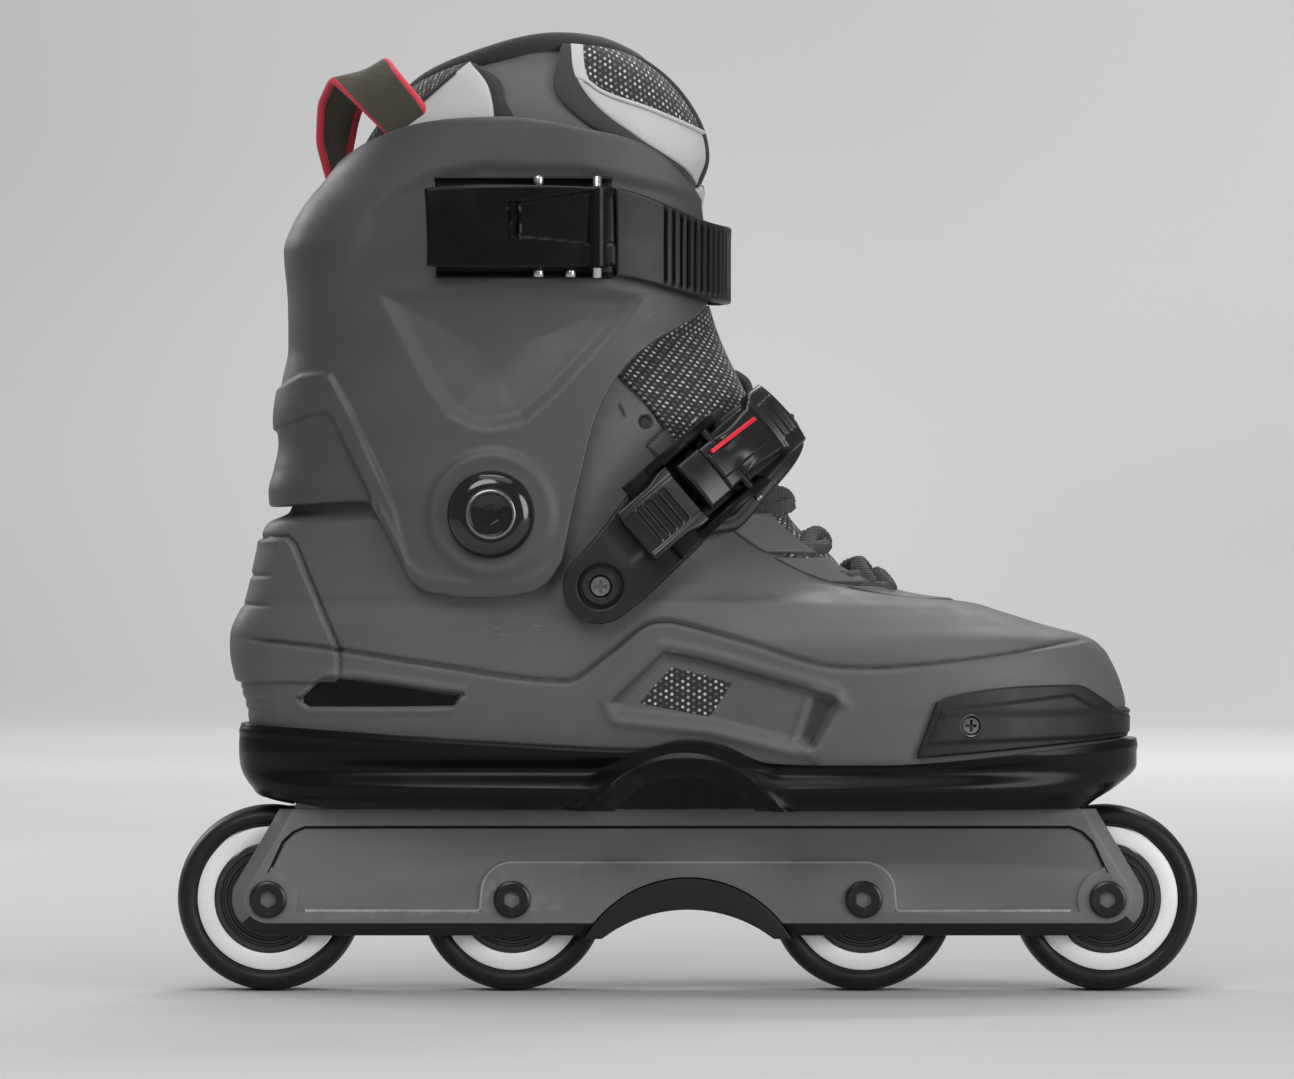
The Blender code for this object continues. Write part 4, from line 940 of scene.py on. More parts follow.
BELT_TOP = [(-150, 188), (-127.8, 188.3), (-119.9, 192.2), (-113, 193.1), (-110.2, 192.4), (-103.3, 180),
            (-89.8, 150.2), (-84.5, 128), (-83, 112), (-150, 100)]
BELT_BOTTOM = [(-150, 174), (-128.2, 175.2), (-116.8, 179.2), (-112.4, 180.1), (-109.7, 178.7),
               (-98, 154.6), (-96, 140), (-100, 100), (-150, 100)]
DISH = [(-95.5, 217), (-81.4, 189.7), (-74.1, 179), (-67, 175.2), (-61, 174.3), (-50.3, 176.5),
        (-40, 185.5), (-24.9, 201.9), (-13, 216.5), (-50, 221)]
STRAP_SEAT = [(-150, 150), (-105.5, 227), (-98.3, 241.4), (-90, 248.6), (-81.4, 253.3), (-63.5, 256.4),
              (-33.4, 255.8), (-5.8, 249.9), (40, 236), (40, 150)]


def cuff_form(x, z):
    """(height, painted shade, how far the inner face follows) of the cuff at (x, z)."""
    top, low = inside(BELT_TOP, x, z), inside(BELT_BOTTOM, x, z)
    height = 1.3 * ease(-0.5, 1.3, top) - 1.1 * ease(-0.4, 1.0, low)
    # painted shade in the grooves along both edges of the belt
    mark = 0.4 * groove(top, 1.0) + 0.6 * groove(low, 1.0)
    fade = ease(122, 140, z)
    height, mark = height * fade, mark * fade
    dish = inside(DISH, x, z)
    scoop = -2.0 * ease(-0.8, 4.5, dish) - 2.8 * ease(2, 20, dish)
    seat = inside(STRAP_SEAT, x, z)
    height -= 1.2 * ease(-1.5, 3.0, seat) * ease(-112, -98, x) * ease(205, 240, z)
    boss = np.hypot(x - CUFF_PIVOT[0], z - CUFF_PIVOT[1])
    height += 0.9 * (1 - ease(16.5, 21.5, boss)) + 0.5 * groove(boss - 18.2, 3.2)
    edge = CUFF_LOW(x) - z
    height += 0.35 * groove(edge + 4.2, 3.5) * (x > -95)
    return height + scoop, np.clip(mark, 0, 1), 0.85 * scoop


def cuff_bolt_face():
    turn = np.linspace(0, 2 * pi, 13)
    return float(np.max(CUFF.side(CUFF_PIVOT[0] + 13.5 * np.cos(turn), CUFF_PIVOT[1] + 13.5 * np.sin(turn))))


def cuff():
    edge = lambda z: CUFF.angle_at_x(CUFF_EDGE(z), z)
    grid = cover(CUFF, lambda z: -edge(z), edge, CUFF_LOW, CUFF_HIGH, stops(190, 130, 1.3),
                 stops(440, 340, 1.3))
    height, mark, under = cuff_form(grid[..., 0], grid[..., 2])
    piece("cuff_shell", plate(grid, 2.9, 1.3, height, under), CUFF_GREY, "cuff_body", ["cuff"],
          "cuff_plastic", mark=mark)
    face = cuff_bolt_face()
    cap = [(0, face + 1.2), (2.5, face + 1.4, 6), (2.8, face + 3.0, 6), (5.6, face + 3.2), (6.3, face + 3.3),
           (6.5, face + 4.3), (7.4, face + 4.7), (9.0, face + 4.75), (10.6, face + 4.35),
           (12.2, face + 3.3), (13.2, face + 2.0), (13.5, face + 1.0), (13.4, face - 0.6), (0, face - 0.6)]
    washer = [(6.2, face + 2.8), (7.6, face + 2.8), (7.6, face + 4.85), (7.3, face + 5.0),
              (6.9, face + 5.0), (6.6, face + 4.7), (6.2, face + 3.5)]
    for side, name in SIDES:
        centre = (CUFF_PIVOT[0], 0, CUFF_PIVOT[1])
        piece(f"pivot_cap_{name}", lathe(cap, centre, 96, side=side), GLOSS_BLACK, "root",
              [f"cuff_bolt_{name}"], "bolt_steel", 30)
        piece(f"pivot_ring_{name}", lathe(washer, centre, 96, side=side), RIM_STEEL, "root",
              slot="bolt_steel", sharp=30)


def cuff_strap():
    """The ladder strap round the cuff: a wide band with rows of slots on its front."""
    start = lambda z: CUFF.angle_at_x(-24.3, z)
    end = lambda z: 2 * pi - CUFF.angle_at_x(-46.0, z)
    grid = cover(CUFF, start, end, STRAP_LOW, STRAP_HIGH, stops(34, 26, 0.7), stops(560, 190, 0.7), -4.3)
    middle = grid[len(grid) // 2]
    run = lengths(middle)
    first = np.interp(-8.2, middle[:100, 0], run[:100])
    teeth = (run - first) / 3.05
    wave = 0.5 - 0.5 * np.cos(2 * pi * teeth)
    slots = ease(0.42, 0.75, wave) * ((teeth > 0) & (teeth < 24))
    rows = np.linspace(0, 1, len(grid))
    inner = ease(0.1, 0.16, rows) * ease(0.9, 0.84, rows)
    deep = slots[None, :] * inner[:, None]
    # the slots are sunk and filled with painted shade
    piece("ladder_strap", plate(grid, 2.7, 0.7, -1.5 * deep), STRAP_BLACK, "cuff_body", ["cuff_strap"],
          "black_plastic", mark=0.85 * deep)


def cuff_buckle():
    span = lambda x: lambda z: CUFF.angle_at_x(x, z)
    rows, columns = stops(36, 32, 0.8), stops(70, 54, 0.8)
    grid = cover(CUFF, span(-76.5), span(-25.2), level(221.2), level(252.4), rows, columns, -4.2)
    x, z = grid[..., 0], grid[..., 2]
    step = ease(2.0, 3.2, np.abs(z - 236.8) - 12.0)
    piece("buckle_plate", plate(grid, 2.6, 0.7, 0.9 * step), SATIN_BLACK, "cuff_body",
          ["cuff_buckle_base"], "black_plastic")
    rows, columns = stops(48, 26, 1.0), stops(100, 48, 1.0)
    bow = smooth((-80, 1.2), (-74, 0.5), (-60, 0), (-45, 0.2), (-28, 0.9))
    grid = cover(CUFF, span(-77.5), span(-27.0), lambda x: 223.9 + bow(x), lambda x: 249.7 - bow(x), rows,
                 columns, -10.2)
    x, z = grid[..., 0], grid[..., 2]
    window = inside([(-55.2, 244.6), (-52.0, 244.6), (-52.0, 233.0), (-55.2, 233.0)], x, z)
    tongue = inside([(-52, 244.4), (-26, 248.6), (-20, 248.6), (-20, 231.2), (-26, 231.2), (-52, 233.6)],
                    x, z)
    cheeks = ease(-34, -28, x) * ease(6.5, 8.5, np.abs(z - 239.4))
    height = 0.5 - 0.9 * ease(-0.2, 0.6, tongue) - 2.2 * ease(0, 0.6, window) + 0.6 * cheeks
    height -= 0.5 * ease(-66, -77.5, x)
    # painted shade in the lever's window and in the groove round its tongue
    mark = 0.9 * ease(0, 0.5, window) + 0.8 * groove(tongue, 0.8)
    piece("buckle_lever", plate(grid, 4.4, 1.0, height), SATIN_BLACK, "cuff_lever_body",
          ["cuff_buckle_lever"], "black_plastic", mark=np.clip(mark, 0, 1))
    rivets = ((-46.0, 249.6, 252.6), (-46.0, 221.4, 223.9), (-36.2, 221.4, 223.9))
    for i, (x, low, high) in enumerate(rivets):
        y = -float(CUFF.side(np.float64(x), np.float64(237.0))) - 6.4
        rod = pin(low, high, 1.7, 0.2, 0.5, 0.1)
        piece(f"buckle_rivet_{i + 1}", lathe(rod, (x, y, 0), 24, "Z"), STEEL, "cuff_body",
              slot="pin_steel")
    lowest, highest = [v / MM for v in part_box("cuff_buckle_pin")]
    axis = ((lowest.x + highest.x) / 2, (lowest.y + highest.y) / 2, 0)
    rod = pin(lowest.z + 1.4, highest.z - 1.4, 1.4, 0.2, 0.3)
    piece("buckle_pin", lathe(rod, axis, 32, "Z"), STEEL, "cuff_body", ["cuff_buckle_pin"], "pin_steel")
    piece("lever_knuckle", lathe(pin(224.2, 249.4, 3.1, 0.6, 0.6), axis, 48, "Z"), SATIN_BLACK,
          "cuff_lever_body", slot="black_plastic")


# ---- instep strap ----------------------------------------------------------------------------

ARCH_SIDE, ARCH_REACH = 45.2, 71.5  # half axes of the strap's inner arch


def strap_grid(angles, low, high, rows, columns, layer):
    """A grid on the strap's arch: along it by angle, and across it between low and high.

    rows and columns say what stops() is given; layer says how far above the inner arch it lies."""
    share = stops(*rows)[:, None]
    angle = mix(*angles, stops(*columns))[None, :] + 0 * share
    across = mix(low(angle), high(angle), share)
    lift = layer(angle)
    rise = (ARCH_REACH + lift) * np.sin(np.radians(angle))
    x = STRAP_PIVOT[0] + rise * cos(STRAP_RISE) - across * sin(STRAP_RISE)
    z = STRAP_PIVOT[1] + rise * sin(STRAP_RISE) + across * cos(STRAP_RISE)
    y = -(ARCH_SIDE + lift) * np.cos(np.radians(angle))
    return np.stack((x, y, z), axis=-1), angle, across


def arm_half(angle):
    """Half the arm's width: round at the screw, widening towards the buckle."""
    rise = ARCH_REACH * np.sin(np.radians(angle))
    tip = np.sqrt(np.maximum(11.4 ** 2 - np.minimum(rise, 0) ** 2, 0.3))
    return np.where(rise < 0, tip, mix(11.4, 14.0, np.clip(rise / 30, 0, 1)))


def astride(middle, half):
    """The two curves that lie half the width either side of a middle line."""
    return lambda a: middle(a) - half(a), lambda a: middle(a) + half(a)


def instep_strap():
    drift = lambda a: 4.4 * ease(0, 35, a)
    grid, angle, across = strap_grid((-9.15, 61), *astride(drift, arm_half), (44, 24, 0.8),
                                     (150, 84, 0.8), level(2.6))
    rise = ARCH_REACH * np.sin(np.radians(angle))
    spot = np.hypot(rise, across)
    height = 0.5 - 0.9 * (1 - ease(6.3, 7.4, spot)) - 0.6 * ease(8.5, 13, rise) * ease(-2, 1, across)
    # painted shadow: a dark wedge along the arm's lower edge where it overhangs the shell; painted shade also
    # in the groove round the screw
    under = ease(-2.5, -6.5, across - 0.12 * rise) * ease(4, 20, rise)
    mark = 0.7 * groove(spot - 6.6, 0.9) + 0.95 * under
    piece("strap_arm", plate(grid, 2.4, 0.8, height), STRAP_BLACK, "instep_body", ["instep_arm"],
          "black_plastic", mark=np.clip(mark, 0, 1))
    half = lambda a: mix(9.5, arm_half(180 - a), ease(150, 172, a))
    drift = lambda a: 4.4 * (1 - ease(140, 176, a))
    climb = lambda a: 5.6 * (1 - ease(57, 72, a)) + 2.1
    grid, angle, across = strap_grid((189, 44), *astride(drift, half), (30, 19, 0.6), (560, 200, 0.6), climb)
    grid = grid[:, ::-1]
    angle, across = angle[:, ::-1], across[:, ::-1]
    teeth = ease(0.3, 0.8, 0.5 + 0.5 * np.sin(np.radians(angle) * 48)) * ease(140, 134, angle)
    field = teeth * ease(7.2, 6.4, np.abs(across - 4.4))
    # the ladder's teeth are sunk and get painted shade
    piece("strap_ladder", plate(grid, 1.9, 0.6, 0.5 - 1.1 * field), STRAP_BLACK, "instep_body",
          ["instep_ladder"], "black_plastic", mark=0.6 * field)
    instep_pad()
    ratchet()
    for side, name in SIDES:
        centre = (STRAP_PIVOT[0], 0, STRAP_PIVOT[1])
        cross_screw(f"strap_screw_{name}", centre, ARCH_SIDE + 3.2, 5.7, 3.4, side, GUARD_GREY,
                    f"instep_screw_{name}")


SHIELD_LOW = smooth((26, -8.5), (31, -10), (40, -14.3), (52, -12.5), (66, -10.5), (80, -7), (95, -2))
SHIELD_HIGH = smooth((26, 12), (40, 16), (60, 15.5), (72, 13.5), (84, 9.5), (95, 5))


def instep_pad():
    """The shaped shield under the ratchet, which bows out past the strap and over the instep."""
    rise = lambda a: mix(-0.6, 7.5, ease(40, 78, a))
    grid, angle, across = strap_grid((26, 95), SHIELD_LOW, SHIELD_HIGH, (64, 30, 1.2), (150, 75, 1.2), rise)
    rib = groove(across - SHIELD_LOW(angle) - 4.0, 3.0) + groove(SHIELD_HIGH(angle) - across - 4.0, 3.0)
    # painted shade in a line beside the lower rib
    piece("instep_shield", plate(grid, 2.6, 1.2, 0.9 * rib), STRAP_BLACK, "instep_body",
          slot="black_plastic", mark=0.4 * groove(across - SHIELD_LOW(angle) - 6.5, 1.2))


def ratchet():
    """The instep buckle: a base with two side walls, a ratchet lever and a ribbed release tab."""
    base_low = lambda a: -10.0 + 0.6 * np.cos(np.radians((a - 35) * 6))
    grid, angle, across = strap_grid((19, 50.5), base_low, level(18.9), (44, 30, 0.6), (60, 40, 0.6),
                                     level(4.9))
    wall = ease(9.8, 11.6, np.abs(across - BUCKLE_MIDDLE)) * ease(25.5, 30, angle)
    profile = 7.9 * np.sin(pi * np.clip((angle - 25.5) / 27, 0, 1)) ** 0.6
    base = plate(grid, 1.5, 0.5, wall * profile)
    piece("ratchet_base", base, SATIN_BLACK, "instep_body", ["instep_buckle_base"], "black_plastic")
    middle = level(BUCKLE_MIDDLE)
    half = lambda a: 8.2 + 3.2 * ease(56, 62, a) - 0.9 * np.sin(pi * ease(38, 56, a))
    grid, angle, across = strap_grid((37, 70), *astride(middle, half), (54, 22, 1.2), (110, 44, 1.2),
                                     level(12.2))
    off = across - BUCKLE_MIDDLE
    crown = 1.6 * (1 - (off / 12) ** 2) - 1.2
    grip = ease(58.5, 60, angle)
    ribs = grip * ease(68.5, 67, angle) * groove(np.mod(angle - 59.6, 2.2) - 1.1, 1.0) * (np.abs(off) < 6.5)
    spine = ease(4.4, 3.6, np.abs(off)) * ease(57.5, 56.5, angle)
    scoop = groove(np.hypot((angle - 44) * 1.1, np.abs(off) - 4.8), 5.0) * ease(56, 52, angle)
    height = crown + 0.9 * grip + 0.9 * ribs + 0.7 * spine - 1.0 * scoop
    # painted shade in the grooves either side of the spine and in front of the grip
    mark = 0.8 * groove(np.abs(off) - 4.0, 0.9) * ease(57.5, 56.5, angle) + 0.6 * groove(angle - 58.4, 0.8)
    piece("ratchet_handle", plate(grid, 3.3, 1.2, height), MATT_BLACK, "ratchet_body",
          ["ratchet_lever"], "black_plastic", mark=np.clip(mark, 0, 1))
    stripe_low = lambda a: 8.6 - 0.05 * (a - 38)
    grid = strap_grid((38.5, 55.5), stripe_low, lambda a: stripe_low(a) + 1.4, (10, 1.4, 0.3),
                      (60, 24, 0.3), level(13.6))[0]
    piece("ratchet_stripe", plate(grid, 1.2, 0.3), RED_LINE, "ratchet_body", slot="black_plastic")
    grid, angle, across = strap_grid((30.2, 37.2), level(-4.0), level(13.0), (40, 17, 1.0), (30, 9, 1.0),
                                     level(12.0))
    off = across - BUCKLE_MIDDLE
    # painted shade in the two grooves along the housing
    piece("ratchet_housing", plate(grid, 3.3, 1.0, 0.6 - 1.6 * (off / 12) ** 2), MATT_BLACK, "instep_body",
          slot="black_plastic", mark=0.6 * groove(np.abs(off) - 4.0, 0.9))
    half = lambda a: 9.4 + 1.3 * ease(22, 27, a)
    grid, angle, across = strap_grid((13, 29), *astride(middle, half), (44, 20, 0.8), (80, 22, 0.8),
                                     level(9.5))
    off = across - BUCKLE_MIDDLE
    ribs = groove(np.mod(angle - 15.4, 2.1) - 1.05, 1.0) * ease(14.8, 15.6, angle) * ease(25.6, 25, angle)
    field = ribs * ease(6.6, 5.8, np.abs(off))
    rim = ease(6.8, 8.0, np.abs(off))
    # painted shade in the sunk field between the ribs
    piece("release_tab", plate(grid, 3.0, 0.8, -0.5 + 0.9 * field + 0.6 * rim), MATT_BLACK,
          "release_body", ["release_lever"], "black_plastic",
          mark=0.5 * ease(6.6, 5.8, np.abs(off)) * (1 - ribs) * ease(14.8, 15.6, angle))
    lowest, highest = [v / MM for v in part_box("instep_buckle_pin")]
    across_strap = np.array((sin(STRAP_RISE), 0, -cos(STRAP_RISE)))
    centre = np.array((lowest + highest) / 2)
    reach = (highest.z - lowest.z - 2.2) / 2 / cos(STRAP_RISE)
    spot = lambda t: centre + across_strap * t
    piece("ratchet_pin", tube([spot(-reach), spot(0), spot(reach)], 1.35, 24), DARK_STEEL, "instep_body",
          ["instep_buckle_pin"], "pin_steel")
    for number, end in enumerate((-reach, reach), 1):
        rivet = tube([spot(end * 0.97), spot(end), spot(end * 1.05)], 1.3, 24)
        piece(f"ratchet_rivet_{number}", rivet, STEEL, "instep_body", slot="pin_steel")


# ---- liner -----------------------------------------------------------------------------------

def puffed(target, voxel, cap, pressure=4.0, steps=20):
    """Fills a padded piece by cloth simulation; no point moves further than cap millimetres."""
    remesh = target.modifiers.new("remesh", "REMESH")
    remesh.mode = "VOXEL"
    remesh.voxel_size = voxel * MM
    apply_modifiers(target)
    rest = np.array([v.co for v in target.data.vertices])
    sim = target.modifiers.new("pad", "CLOTH")
    sim.settings.use_pressure = True
    sim.settings.uniform_pressure_force = pressure
    sim.settings.effector_weights.gravity = 0
    sim.settings.tension_stiffness = sim.settings.compression_stiffness = 25
    sim.point_cache.frame_start, sim.point_cache.frame_end = 1, steps
    for step in range(1, steps + 1):
        bpy.context.scene.frame_set(step)
    graph = bpy.context.evaluated_depsgraph_get()
    result = bpy.data.meshes.new_from_object(target.evaluated_get(graph), depsgraph=graph)
    moved = np.array([v.co for v in result.vertices]) - rest
    far = np.linalg.norm(moved, axis=1, keepdims=True)
    moved *= np.minimum(1, cap * MM / np.maximum(far, 1e-9))
    target.modifiers.clear()
    target.data.vertices.foreach_set("co", (rest + moved).ravel().astype(np.float32))
    bpy.data.meshes.remove(result)
    bpy.context.scene.frame_set(1)


def subdivided(target):
    modifier = target.modifiers.new("smooth", "SUBSURF")
    modifier.levels = modifier.render_levels = 1
    apply_modifiers(target)
    target.data.shade_smooth()


RIM = smooth((0, 276), (0.16, 280), (0.31, 285.5), (0.47, 288.5), (0.63, 290.6), (0.94, 293.8), (1.26, 296),
             (1.88, 297.4), (2.36, 297), (2.67, 296.2), (2.9, 294.5), (pi, 292))


def rim_height(angle, drop=0.0):
    return RIM(pi - np.abs(pi - np.abs(angle))) - drop


def collar_split(z):
    return COLLAR.angle_at_x(np.minimum(-10.0, COLLAR.front(z) - 14), z)


def collar():
    """The padded cuff of the liner and the top of its tongue, each puffed up inside its cover."""
    low = smooth((-60, 204), (-25, 209.5), (0, 215.5))
    parts = (("collar_pad", lambda z: 0.03 - collar_split(z), lambda z: collar_split(z) - 0.03, low,
              "liner_cuff", GREY_FABRIC, 0.7),
             ("tongue_pad", lambda z: collar_split(z) + 0.12, lambda z: 2 * pi - collar_split(z) - 0.12,
              level(207.5), "tongue_upper", LINING, 0.6))
    for name, start, end, bottom, node, finish, fill in parts:
        grid = cover(COLLAR, start, end, bottom, level(400.0), np.linspace(0, 1, 40), np.linspace(0, 1, 120),
                     2.2, lambda a: rim_height(a, 2.5))
        tuck = -3.5 * ease(232, 212, grid[..., 2])
        pad = piece(name, plate(grid, 5.5, 0, tuck, tuck), finish, None)
        puffed(pad, 3.6, 2.0)
        subdivided(pad)
        refinish(pad, finish)
        claim(pad, "cuff_body", node)


def panel(name, side, x_ends, low, high, finish, lift):
    """A stitched-on panel of the collar between two x ends and two height curves, on one side."""
    start, end = [lambda z, x=x: COLLAR.angle_at_x(np.minimum(x(z), COLLAR.front(z) - 0.2), z)
                  for x in x_ends]
    grid = cover(COLLAR, start, end, low, high, np.linspace(0, 1, 44), np.linspace(0, 1, 64), -lift,
                 lambda a: rim_height(a, 3.0))
    if side > 0:
        grid = grid[:, ::-1] * (1, -1, 1)
    run = np.cumsum(np.linalg.norm(np.diff(grid, axis=1, prepend=grid[:, :1]), axis=-1), axis=1)
    plump = 0.45 * (1 - np.exp(-to_border(grid) / 3.5))
    piece(name, plate(grid, 2.2, 0.3, plump), finish, "cuff_body", slot="liner_fabric",
          flat=laid_out(run, grid[..., 2]))


SEAM_REAR = smooth((-113, 254), (-90.7, 270), (-68.2, 288.7), (-60, 295))
SEAM_FRONT = smooth((-36, 284.5), (-31, 282.2), (-27.4, 279.6), (-12, 274.2), (6.8, 267.0))


def collar_panels():
    """Mesh, pale and dark panels on both sides of the collar, with piping along the seams."""
    below = lambda x: CUFF_HIGH(x) - 9.0
    rim = level(400.0)
    pale_end = smooth((258, -56.5), (270, -59.6), (276, -60.4), (282, -62.2), (289, -67.5))
    dark_rear = smooth((258, -51), (270, -53), (277, -56.5), (283, -58.2), (289, -67.0))
    sweep_edge = smooth((240, 4.5), (254, 0.8), (264.6, -14.9), (274, -27.4), (283.4, -34.3), (296, -36.2))
    dark_edge = smooth((240, -6), (254, -8), (262.4, -19), (269.3, -31.5), (281.8, -41.5), (296, -38.5))
    front = lambda z: COLLAR.front(z) - 0.9 - 2.0 * ease(252, 248, z)
    for side, name in SIDES:
        specs = (
            ("mesh_rear", (level(-117.0), level(-63.5)), lambda x: np.maximum(SEAM_REAR(x), below(x)),
             rim, MESH, 0.1),
            ("pale_rear", (level(-108.0), pale_end), below, SEAM_REAR, PALE_FABRIC, 0.3),
            ("dark_rear", (pale_end, dark_rear), below, level(288.5), DARK_FABRIC, 0.2),
            ("dark_front", (dark_edge, sweep_edge), below, rim, DARK_FABRIC, 0.2),
            ("pale_front", (sweep_edge, front), below, SEAM_FRONT, PALE_FABRIC, 0.3),
            ("pale_stripe", (lambda z: sweep_edge(z) - 0.4, lambda z: sweep_edge(z) + 3.4),
             lambda x: SEAM_FRONT(x) - 0.5, rim, PALE_FABRIC, 0.4),
            ("mesh_front", (lambda z: sweep_edge(z) + 2.2, front), SEAM_FRONT, rim, MESH, 0.1),
        )
        for label, ends, low, high, finish, lift in specs:
            panel(f"collar_{label}_{name}", side, ends, low, high, finish, lift)
        pipes = (("rear", SEAM_REAR, (-100, -72), BINDING), ("front", SEAM_FRONT, (-32, 5.2), PALE_FABRIC))
        for label, curve, ends, tone in pipes:
            x = np.linspace(*ends, 60)
            y = side * COLLAR.side(x, curve(x), -0.9)
            piece(f"collar_piping_{label}_{name}", tube(np.stack((x, y, curve(x)), axis=-1), 0.65, 10), tone,
                  "cuff_body", slot="liner_fabric")


def rim_binding():
    """The dark bound edge round the top of the liner, and down each side of its front."""
    turn = np.linspace(-pi, pi, 400)
    route = COLLAR.point(turn, rim_height(turn, 2.4), 2.6)
    piece("rim_binding", tube(route, 2.9, 18, flat=0.95), BINDING, "cuff_body", slot="liner_fabric")
    for side, name in SIDES:
        z = np.linspace(250, 291, 80)
        x = COLLAR.front(z) - 0.9
        y = side * COLLAR.side(x, z, -0.3)
        piece(f"front_binding_{name}", tube(np.stack((x, y, z), axis=-1), 1.1, 12), BINDING, "cuff_body",
              slot="liner_fabric")


TONGUE = ((60, 127.6), (57, 129.4), (50.5, 133.4), (44, 138.2), (35, 145.5), (28, 155.5), (23, 166),
          (18.5, 177), (13.2, 188), (8.2, 198), (5.0, 206), (3.0, 213))


def rounded(points, count, passes=8):
    """A smooth line of count points that runs close to a list of corners."""
    points = np.array(points, float)
    run = lengths(points)
    line = np.stack([np.interp(np.linspace(0, run[-1], count), run, part) for part in points.T], axis=-1)
    for _ in range(passes):
        line[1:-1] = (line[:-2] + 2 * line[1:-1] + line[2:]) / 4
    return line


def tongue():
    """The lower tongue: padded, folded down under the shell on both sides, with a ribbed middle."""
    middle = rounded(TONGUE[1:], 96, 12)
    x, z = middle.T
    at = np.linspace(0, 113, 96)
    edge_z = z - 5.0
    edge_y = THROAT(edge_z) + 4.5
    edge_x = SHELL.point(SHELL.angle_at_y(edge_y, edge_z), edge_z, 5.4)[:, 0]
    across = np.linspace(-1, 1, 81)[:, None]
    sunk = 5.2 * ease(168, 148, z) + 5.0 * ease(138, 128, z)
    slope = unit(np.gradient(middle, axis=0))
    x, z = x - sunk * slope[:, 1], z + sunk * slope[:, 0]
    share = np.abs(across) ** 2.6
    grid = np.stack((mix(x, edge_x, share), edge_y * across, mix(z, edge_z, share)), axis=-1)
    quilt = 0.6 * np.abs(np.sin(pi * at / 13.0)) ** 0.5 * (1 - across ** 2) ** 0.5
    run = np.cumsum(np.linalg.norm(np.diff(grid, axis=0, prepend=grid[:1]), axis=-1), axis=0)
    face = piece("tongue_face", plate(grid, 4.0, 1.2, quilt), MESH, None, sharp=60,
                 flat=laid_out(run, at))
    raised = np.stack((x + 1.3 * slope[:, 1], 0 * x, z - 1.3 * slope[:, 0]), axis=-1)
    strip = raised[None, 44:92] + np.linspace(-5.0, 5.0, 14)[:, None, None] * np.array((0, 1, 0))
    middle_strip = piece("tongue_strip", plate(strip, 1.6, 0.4), DARK_FABRIC, None)
    for made in (face, middle_strip):
        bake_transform(made)
    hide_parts("tongue_lower")
    loop = rounded([(9, 0, 190), (13.5, 0, 193.5), (18.5, 0, 190.5), (20, 0, 184), (17, 0, 179)], 40, 12)
    piece("tongue_loop", tube(loop, 1.5, 12), DARK_FABRIC, "root", slot="tongue_fabric")


def liner_foot():
    """The liner's lower part, seen in the throat, over the shell's rim and inside the boot."""
    inset, drop = 4.9, 5.0
    skin = Skin(SHELL.rear, lambda z: SHELL.front(z + drop), SHELL.half, SHELL.power)
    end = lambda z: throat(z, 3)
    top = smooth((-142, 184), (-40, 190), (0, 184))
    rows, columns = np.linspace(0, 1, 110), np.linspace(0, 1, 300)
    grid = cover(skin, lambda z: -end(z), end, level(80.0), top, rows, columns, inset)
    made = piece("liner_boot", plate(grid, 4.6, 2.0), LINING, "root", ["liner_foot"], "liner_fabric",
                 sharp=60)


LOOP_OUTER = [(-91, -24.5, 262), (-93, -23.5, 267.7), (-104, -20, 278.5), (-110.5, -14, 284.5),
              (-114.5, -6, 277), (-115.2, -1, 265), (-112.6, 1, 255.5), (-111, 1, 249)]
LOOP_INNER = [(-80.5, -28.5, 270), (-82.3, -29.5, 275), (-90, -27, 284.5), (-94, -19, 290), (-100, -6, 284),
              (-104.5, 6, 272), (-107, 11, 260), (-107.5, 12, 250)]


def pull_loop():
    """The olive webbing loop behind the collar, with red piping along both edges."""
    edges = [rounded(line, 100, 10) for line in (LOOP_OUTER, LOOP_INNER)]
    share = np.linspace(0, 1, 24)[:, None, None]
    grid = mix(edges[0][None], edges[1][None], share)
    piece("pull_loop_band", plate(grid, 1.3, 0.3), OLIVE_WEBBING, "cuff_body", ["pull_loop"], "webbing")
    for i, route in enumerate(edges):
        piece(f"pull_loop_piping_{i + 1}", tube(route, 1.3, 12), RED_PIPING, "cuff_body", slot="webbing")


# ---- laces -----------------------------------------------------------------------------------

def laces():
    """Braided laces that cross over the tongue, with their ends tucked under the shell's tabs."""
    middle = rounded(TONGUE, 96, 12)
    slope = unit(np.gradient(middle, axis=0))
    works = []
    for height in (153.0, 140.5, 131.5, 127.6):
        over = np.array([np.interp(height, middle[:, 1], part) for part in middle.T])
        lean = np.array([np.interp(height, middle[:, 1], part) for part in slope.T])
        over += 0.6 * np.array((lean[1], -lean[0]))
        for turn, drop in ((-1, 3.0), (1, 5.6)):
            foot = max(height - drop, 124.8 - 0.4 * turn)
            width = float(THROAT(foot)) + 3.5
            a = np.linspace(-1.1, 1.1, 70)
            depth = mix(-1.8, 2.2, ease(0.93, 1.08, np.abs(a)))
            edge = SHELL.point(SHELL.angle_at_y(width, foot) + 0 * a, foot + 0 * a, depth)
            share = np.abs(a)[:, None] ** 2.4
            spots = mix(over[None, :], edge[:, [0, 2]], share)
            cross = 2.4 * turn * np.sin(np.clip(a, -1, 1) * pi)
            route = np.stack((spots[:, 0] + 0.7 * cross, a * width, spots[:, 1] - 0.7 * cross), axis=-1)
            route[:, 2] += 0.8 * turn * np.cos(a * pi / 2)
            works.append(tube(route, 2.7, 24, 0.12, 0.9, 0.68))
    piece("braided_laces", merged(*works), LACE_YARN, "root", ["lace"], "lace_fabric", 60)


# ---- parts that keep their own shape -----------------------------------------------------------

def dress(nodes, finish):
    for name in nodes:
        refinish(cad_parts[name], finish)


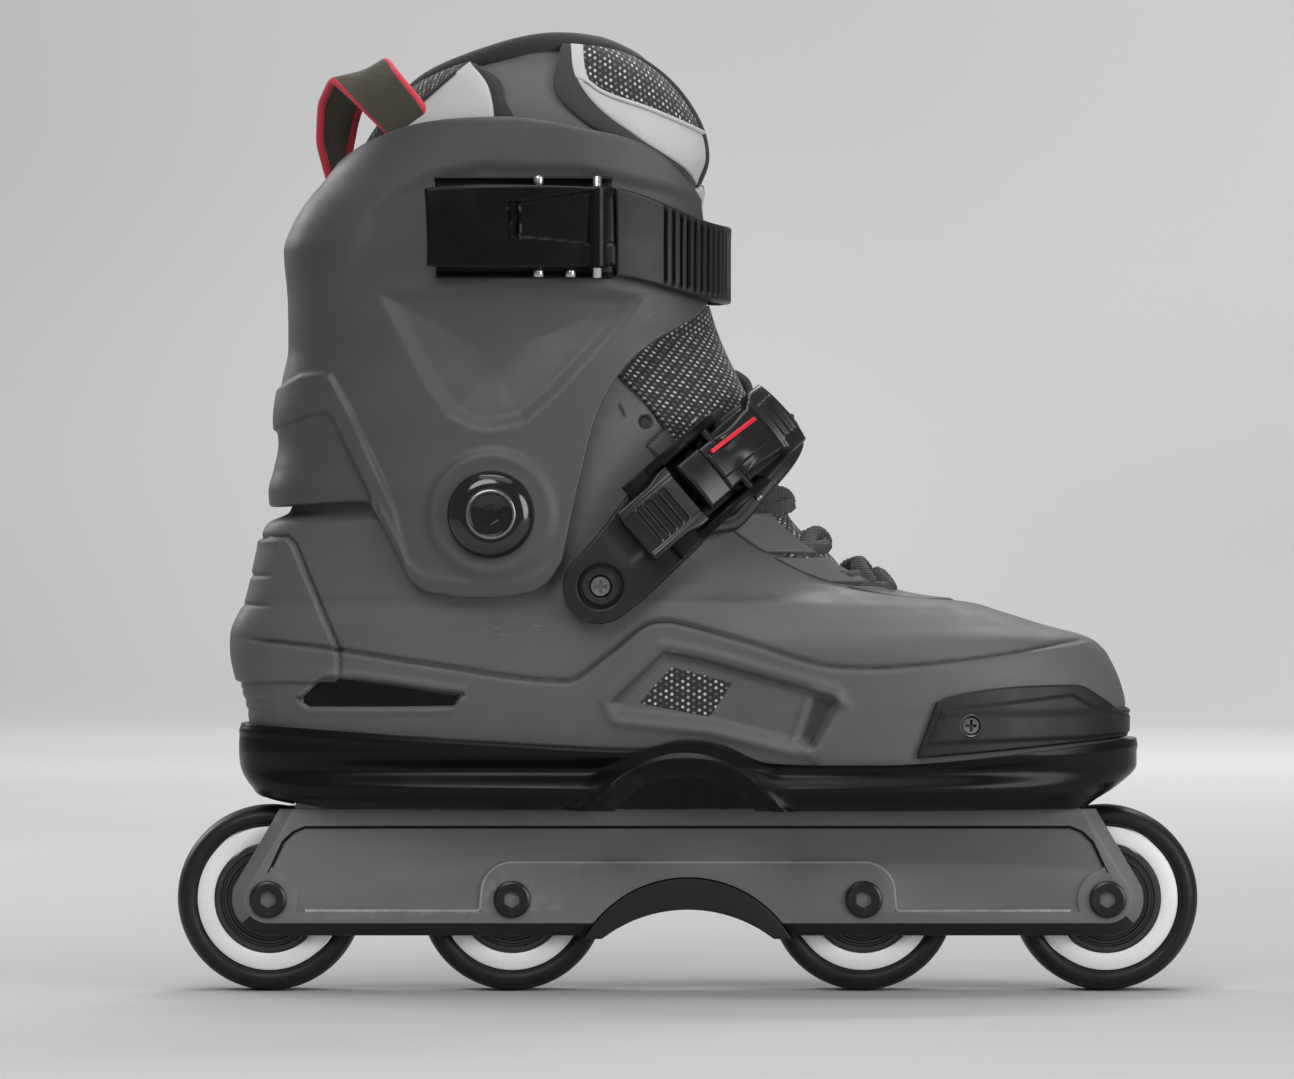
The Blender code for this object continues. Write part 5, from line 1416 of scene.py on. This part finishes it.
def kept_parts():
    numbers = range(1, 5)
    dress([f"bearing_{side}_{i}" for _, side in SIDES for i in numbers], STEEL)
    dress([f"spacer_{i}" for i in numbers], STEEL)
    dress([f"cuff_nut_{side}" for _, side in SIDES], STEEL)
    dress(["heel_frame_bolt", "toe_frame_bolt"], DARK_STEEL)
    dress(["footbed"], LINING)
    dress(["shock_pad"], FOAM)


# ---- stage -----------------------------------------------------------------------------------

def stage():
    """A pale floor that sweeps up into a backdrop, soft lights, and the camera at the side."""
    backdrop = Finish("backdrop")
    tone = backdrop.span(backdrop.noise(900, 1.0), 0.3, 0.7, 0.0, 1.0)
    backdrop.set(Base_Color=backdrop.blend(tone, (0.44, 0.44, 0.442), (0.5, 0.5, 0.502)), Roughness=0.75)
    below = backdrop.add("ShaderNodeNewGeometry").outputs["Backfacing"]
    backdrop.set(Alpha=backdrop.maths("SUBTRACT", 1.0, below))
    curve = [(-4500, 0), (3700, 0)] + arc((3700, 1300), 1300, -90, 0, 24) + [(5000, 4600)]
    work = bmesh.new()
    rows = [[work.verts.new((x, y, z)) for y, z in curve] for x in (-4500, 4500)]
    for i in range(len(curve) - 1):
        work.faces.new((rows[0][i], rows[1][i], rows[1][i + 1], rows[0][i + 1]))
    floor = linked("backdrop", written(work, bpy.data.meshes.new("backdrop")))
    floor.data.materials.append(backdrop.material)
    floor.data.shade_smooth()

    lamps = (("key", (-0.35, -1.3, 1.15), 0.9, 10), ("fill", (1.3, -1.1, 0.45), 1.1, 14),
             ("top", (0.0, 0.1, 1.35), 0.9, 5), ("edge", (-0.9, 0.9, 0.7), 0.7, 5),
             ("wash", (0.2, -0.6, 2.2), 2.0, 9), ("back", (0.5, 2.3, 2.4), 1.6, 95))
    for name, spot, size, watts in lamps:
        light = bpy.data.lights.new(name, "AREA")
        light.shape = "DISK"
        light.size = size
        light.energy = watts
        lamp = linked(name, light)
        lamp.location = spot
        aim = Vector((0, 3.6, 0.3) if name == "back" else (0, 0, 0.15)) - Vector(spot)
        lamp.rotation_euler = aim.to_track_quat("-Z", "Y").to_euler()
    world = bpy.data.worlds.new("studio")
    bpy.context.scene.world = world
    world.use_nodes = True
    world.node_tree.nodes["Background"].inputs["Color"].default_value = (1, 1, 1, 1)
    world.node_tree.nodes["Background"].inputs["Strength"].default_value = 0.2
    bpy.context.scene.view_settings.view_transform = "Standard"

    lens = bpy.data.cameras.new("camera")
    lens.sensor_width = 36
    lens.lens = 222
    lens.clip_end = 20
    camera = linked("camera", lens)
    camera.location = (-0.0127, -2.5, 0.1409)
    camera.rotation_euler = (pi / 2, 0, 0)
    bpy.context.scene.camera = camera


wheels()
wheel_frame()
grind_block()
soulplate()
shell()
lace_tabs()
toe_guard()
heel_inlays()
liner_foot()
tongue()
laces()
cuff()
cuff_strap()
cuff_buckle()
instep_strap()
collar()
collar_panels()
rim_binding()
pull_loop()
kept_parts()
stage()
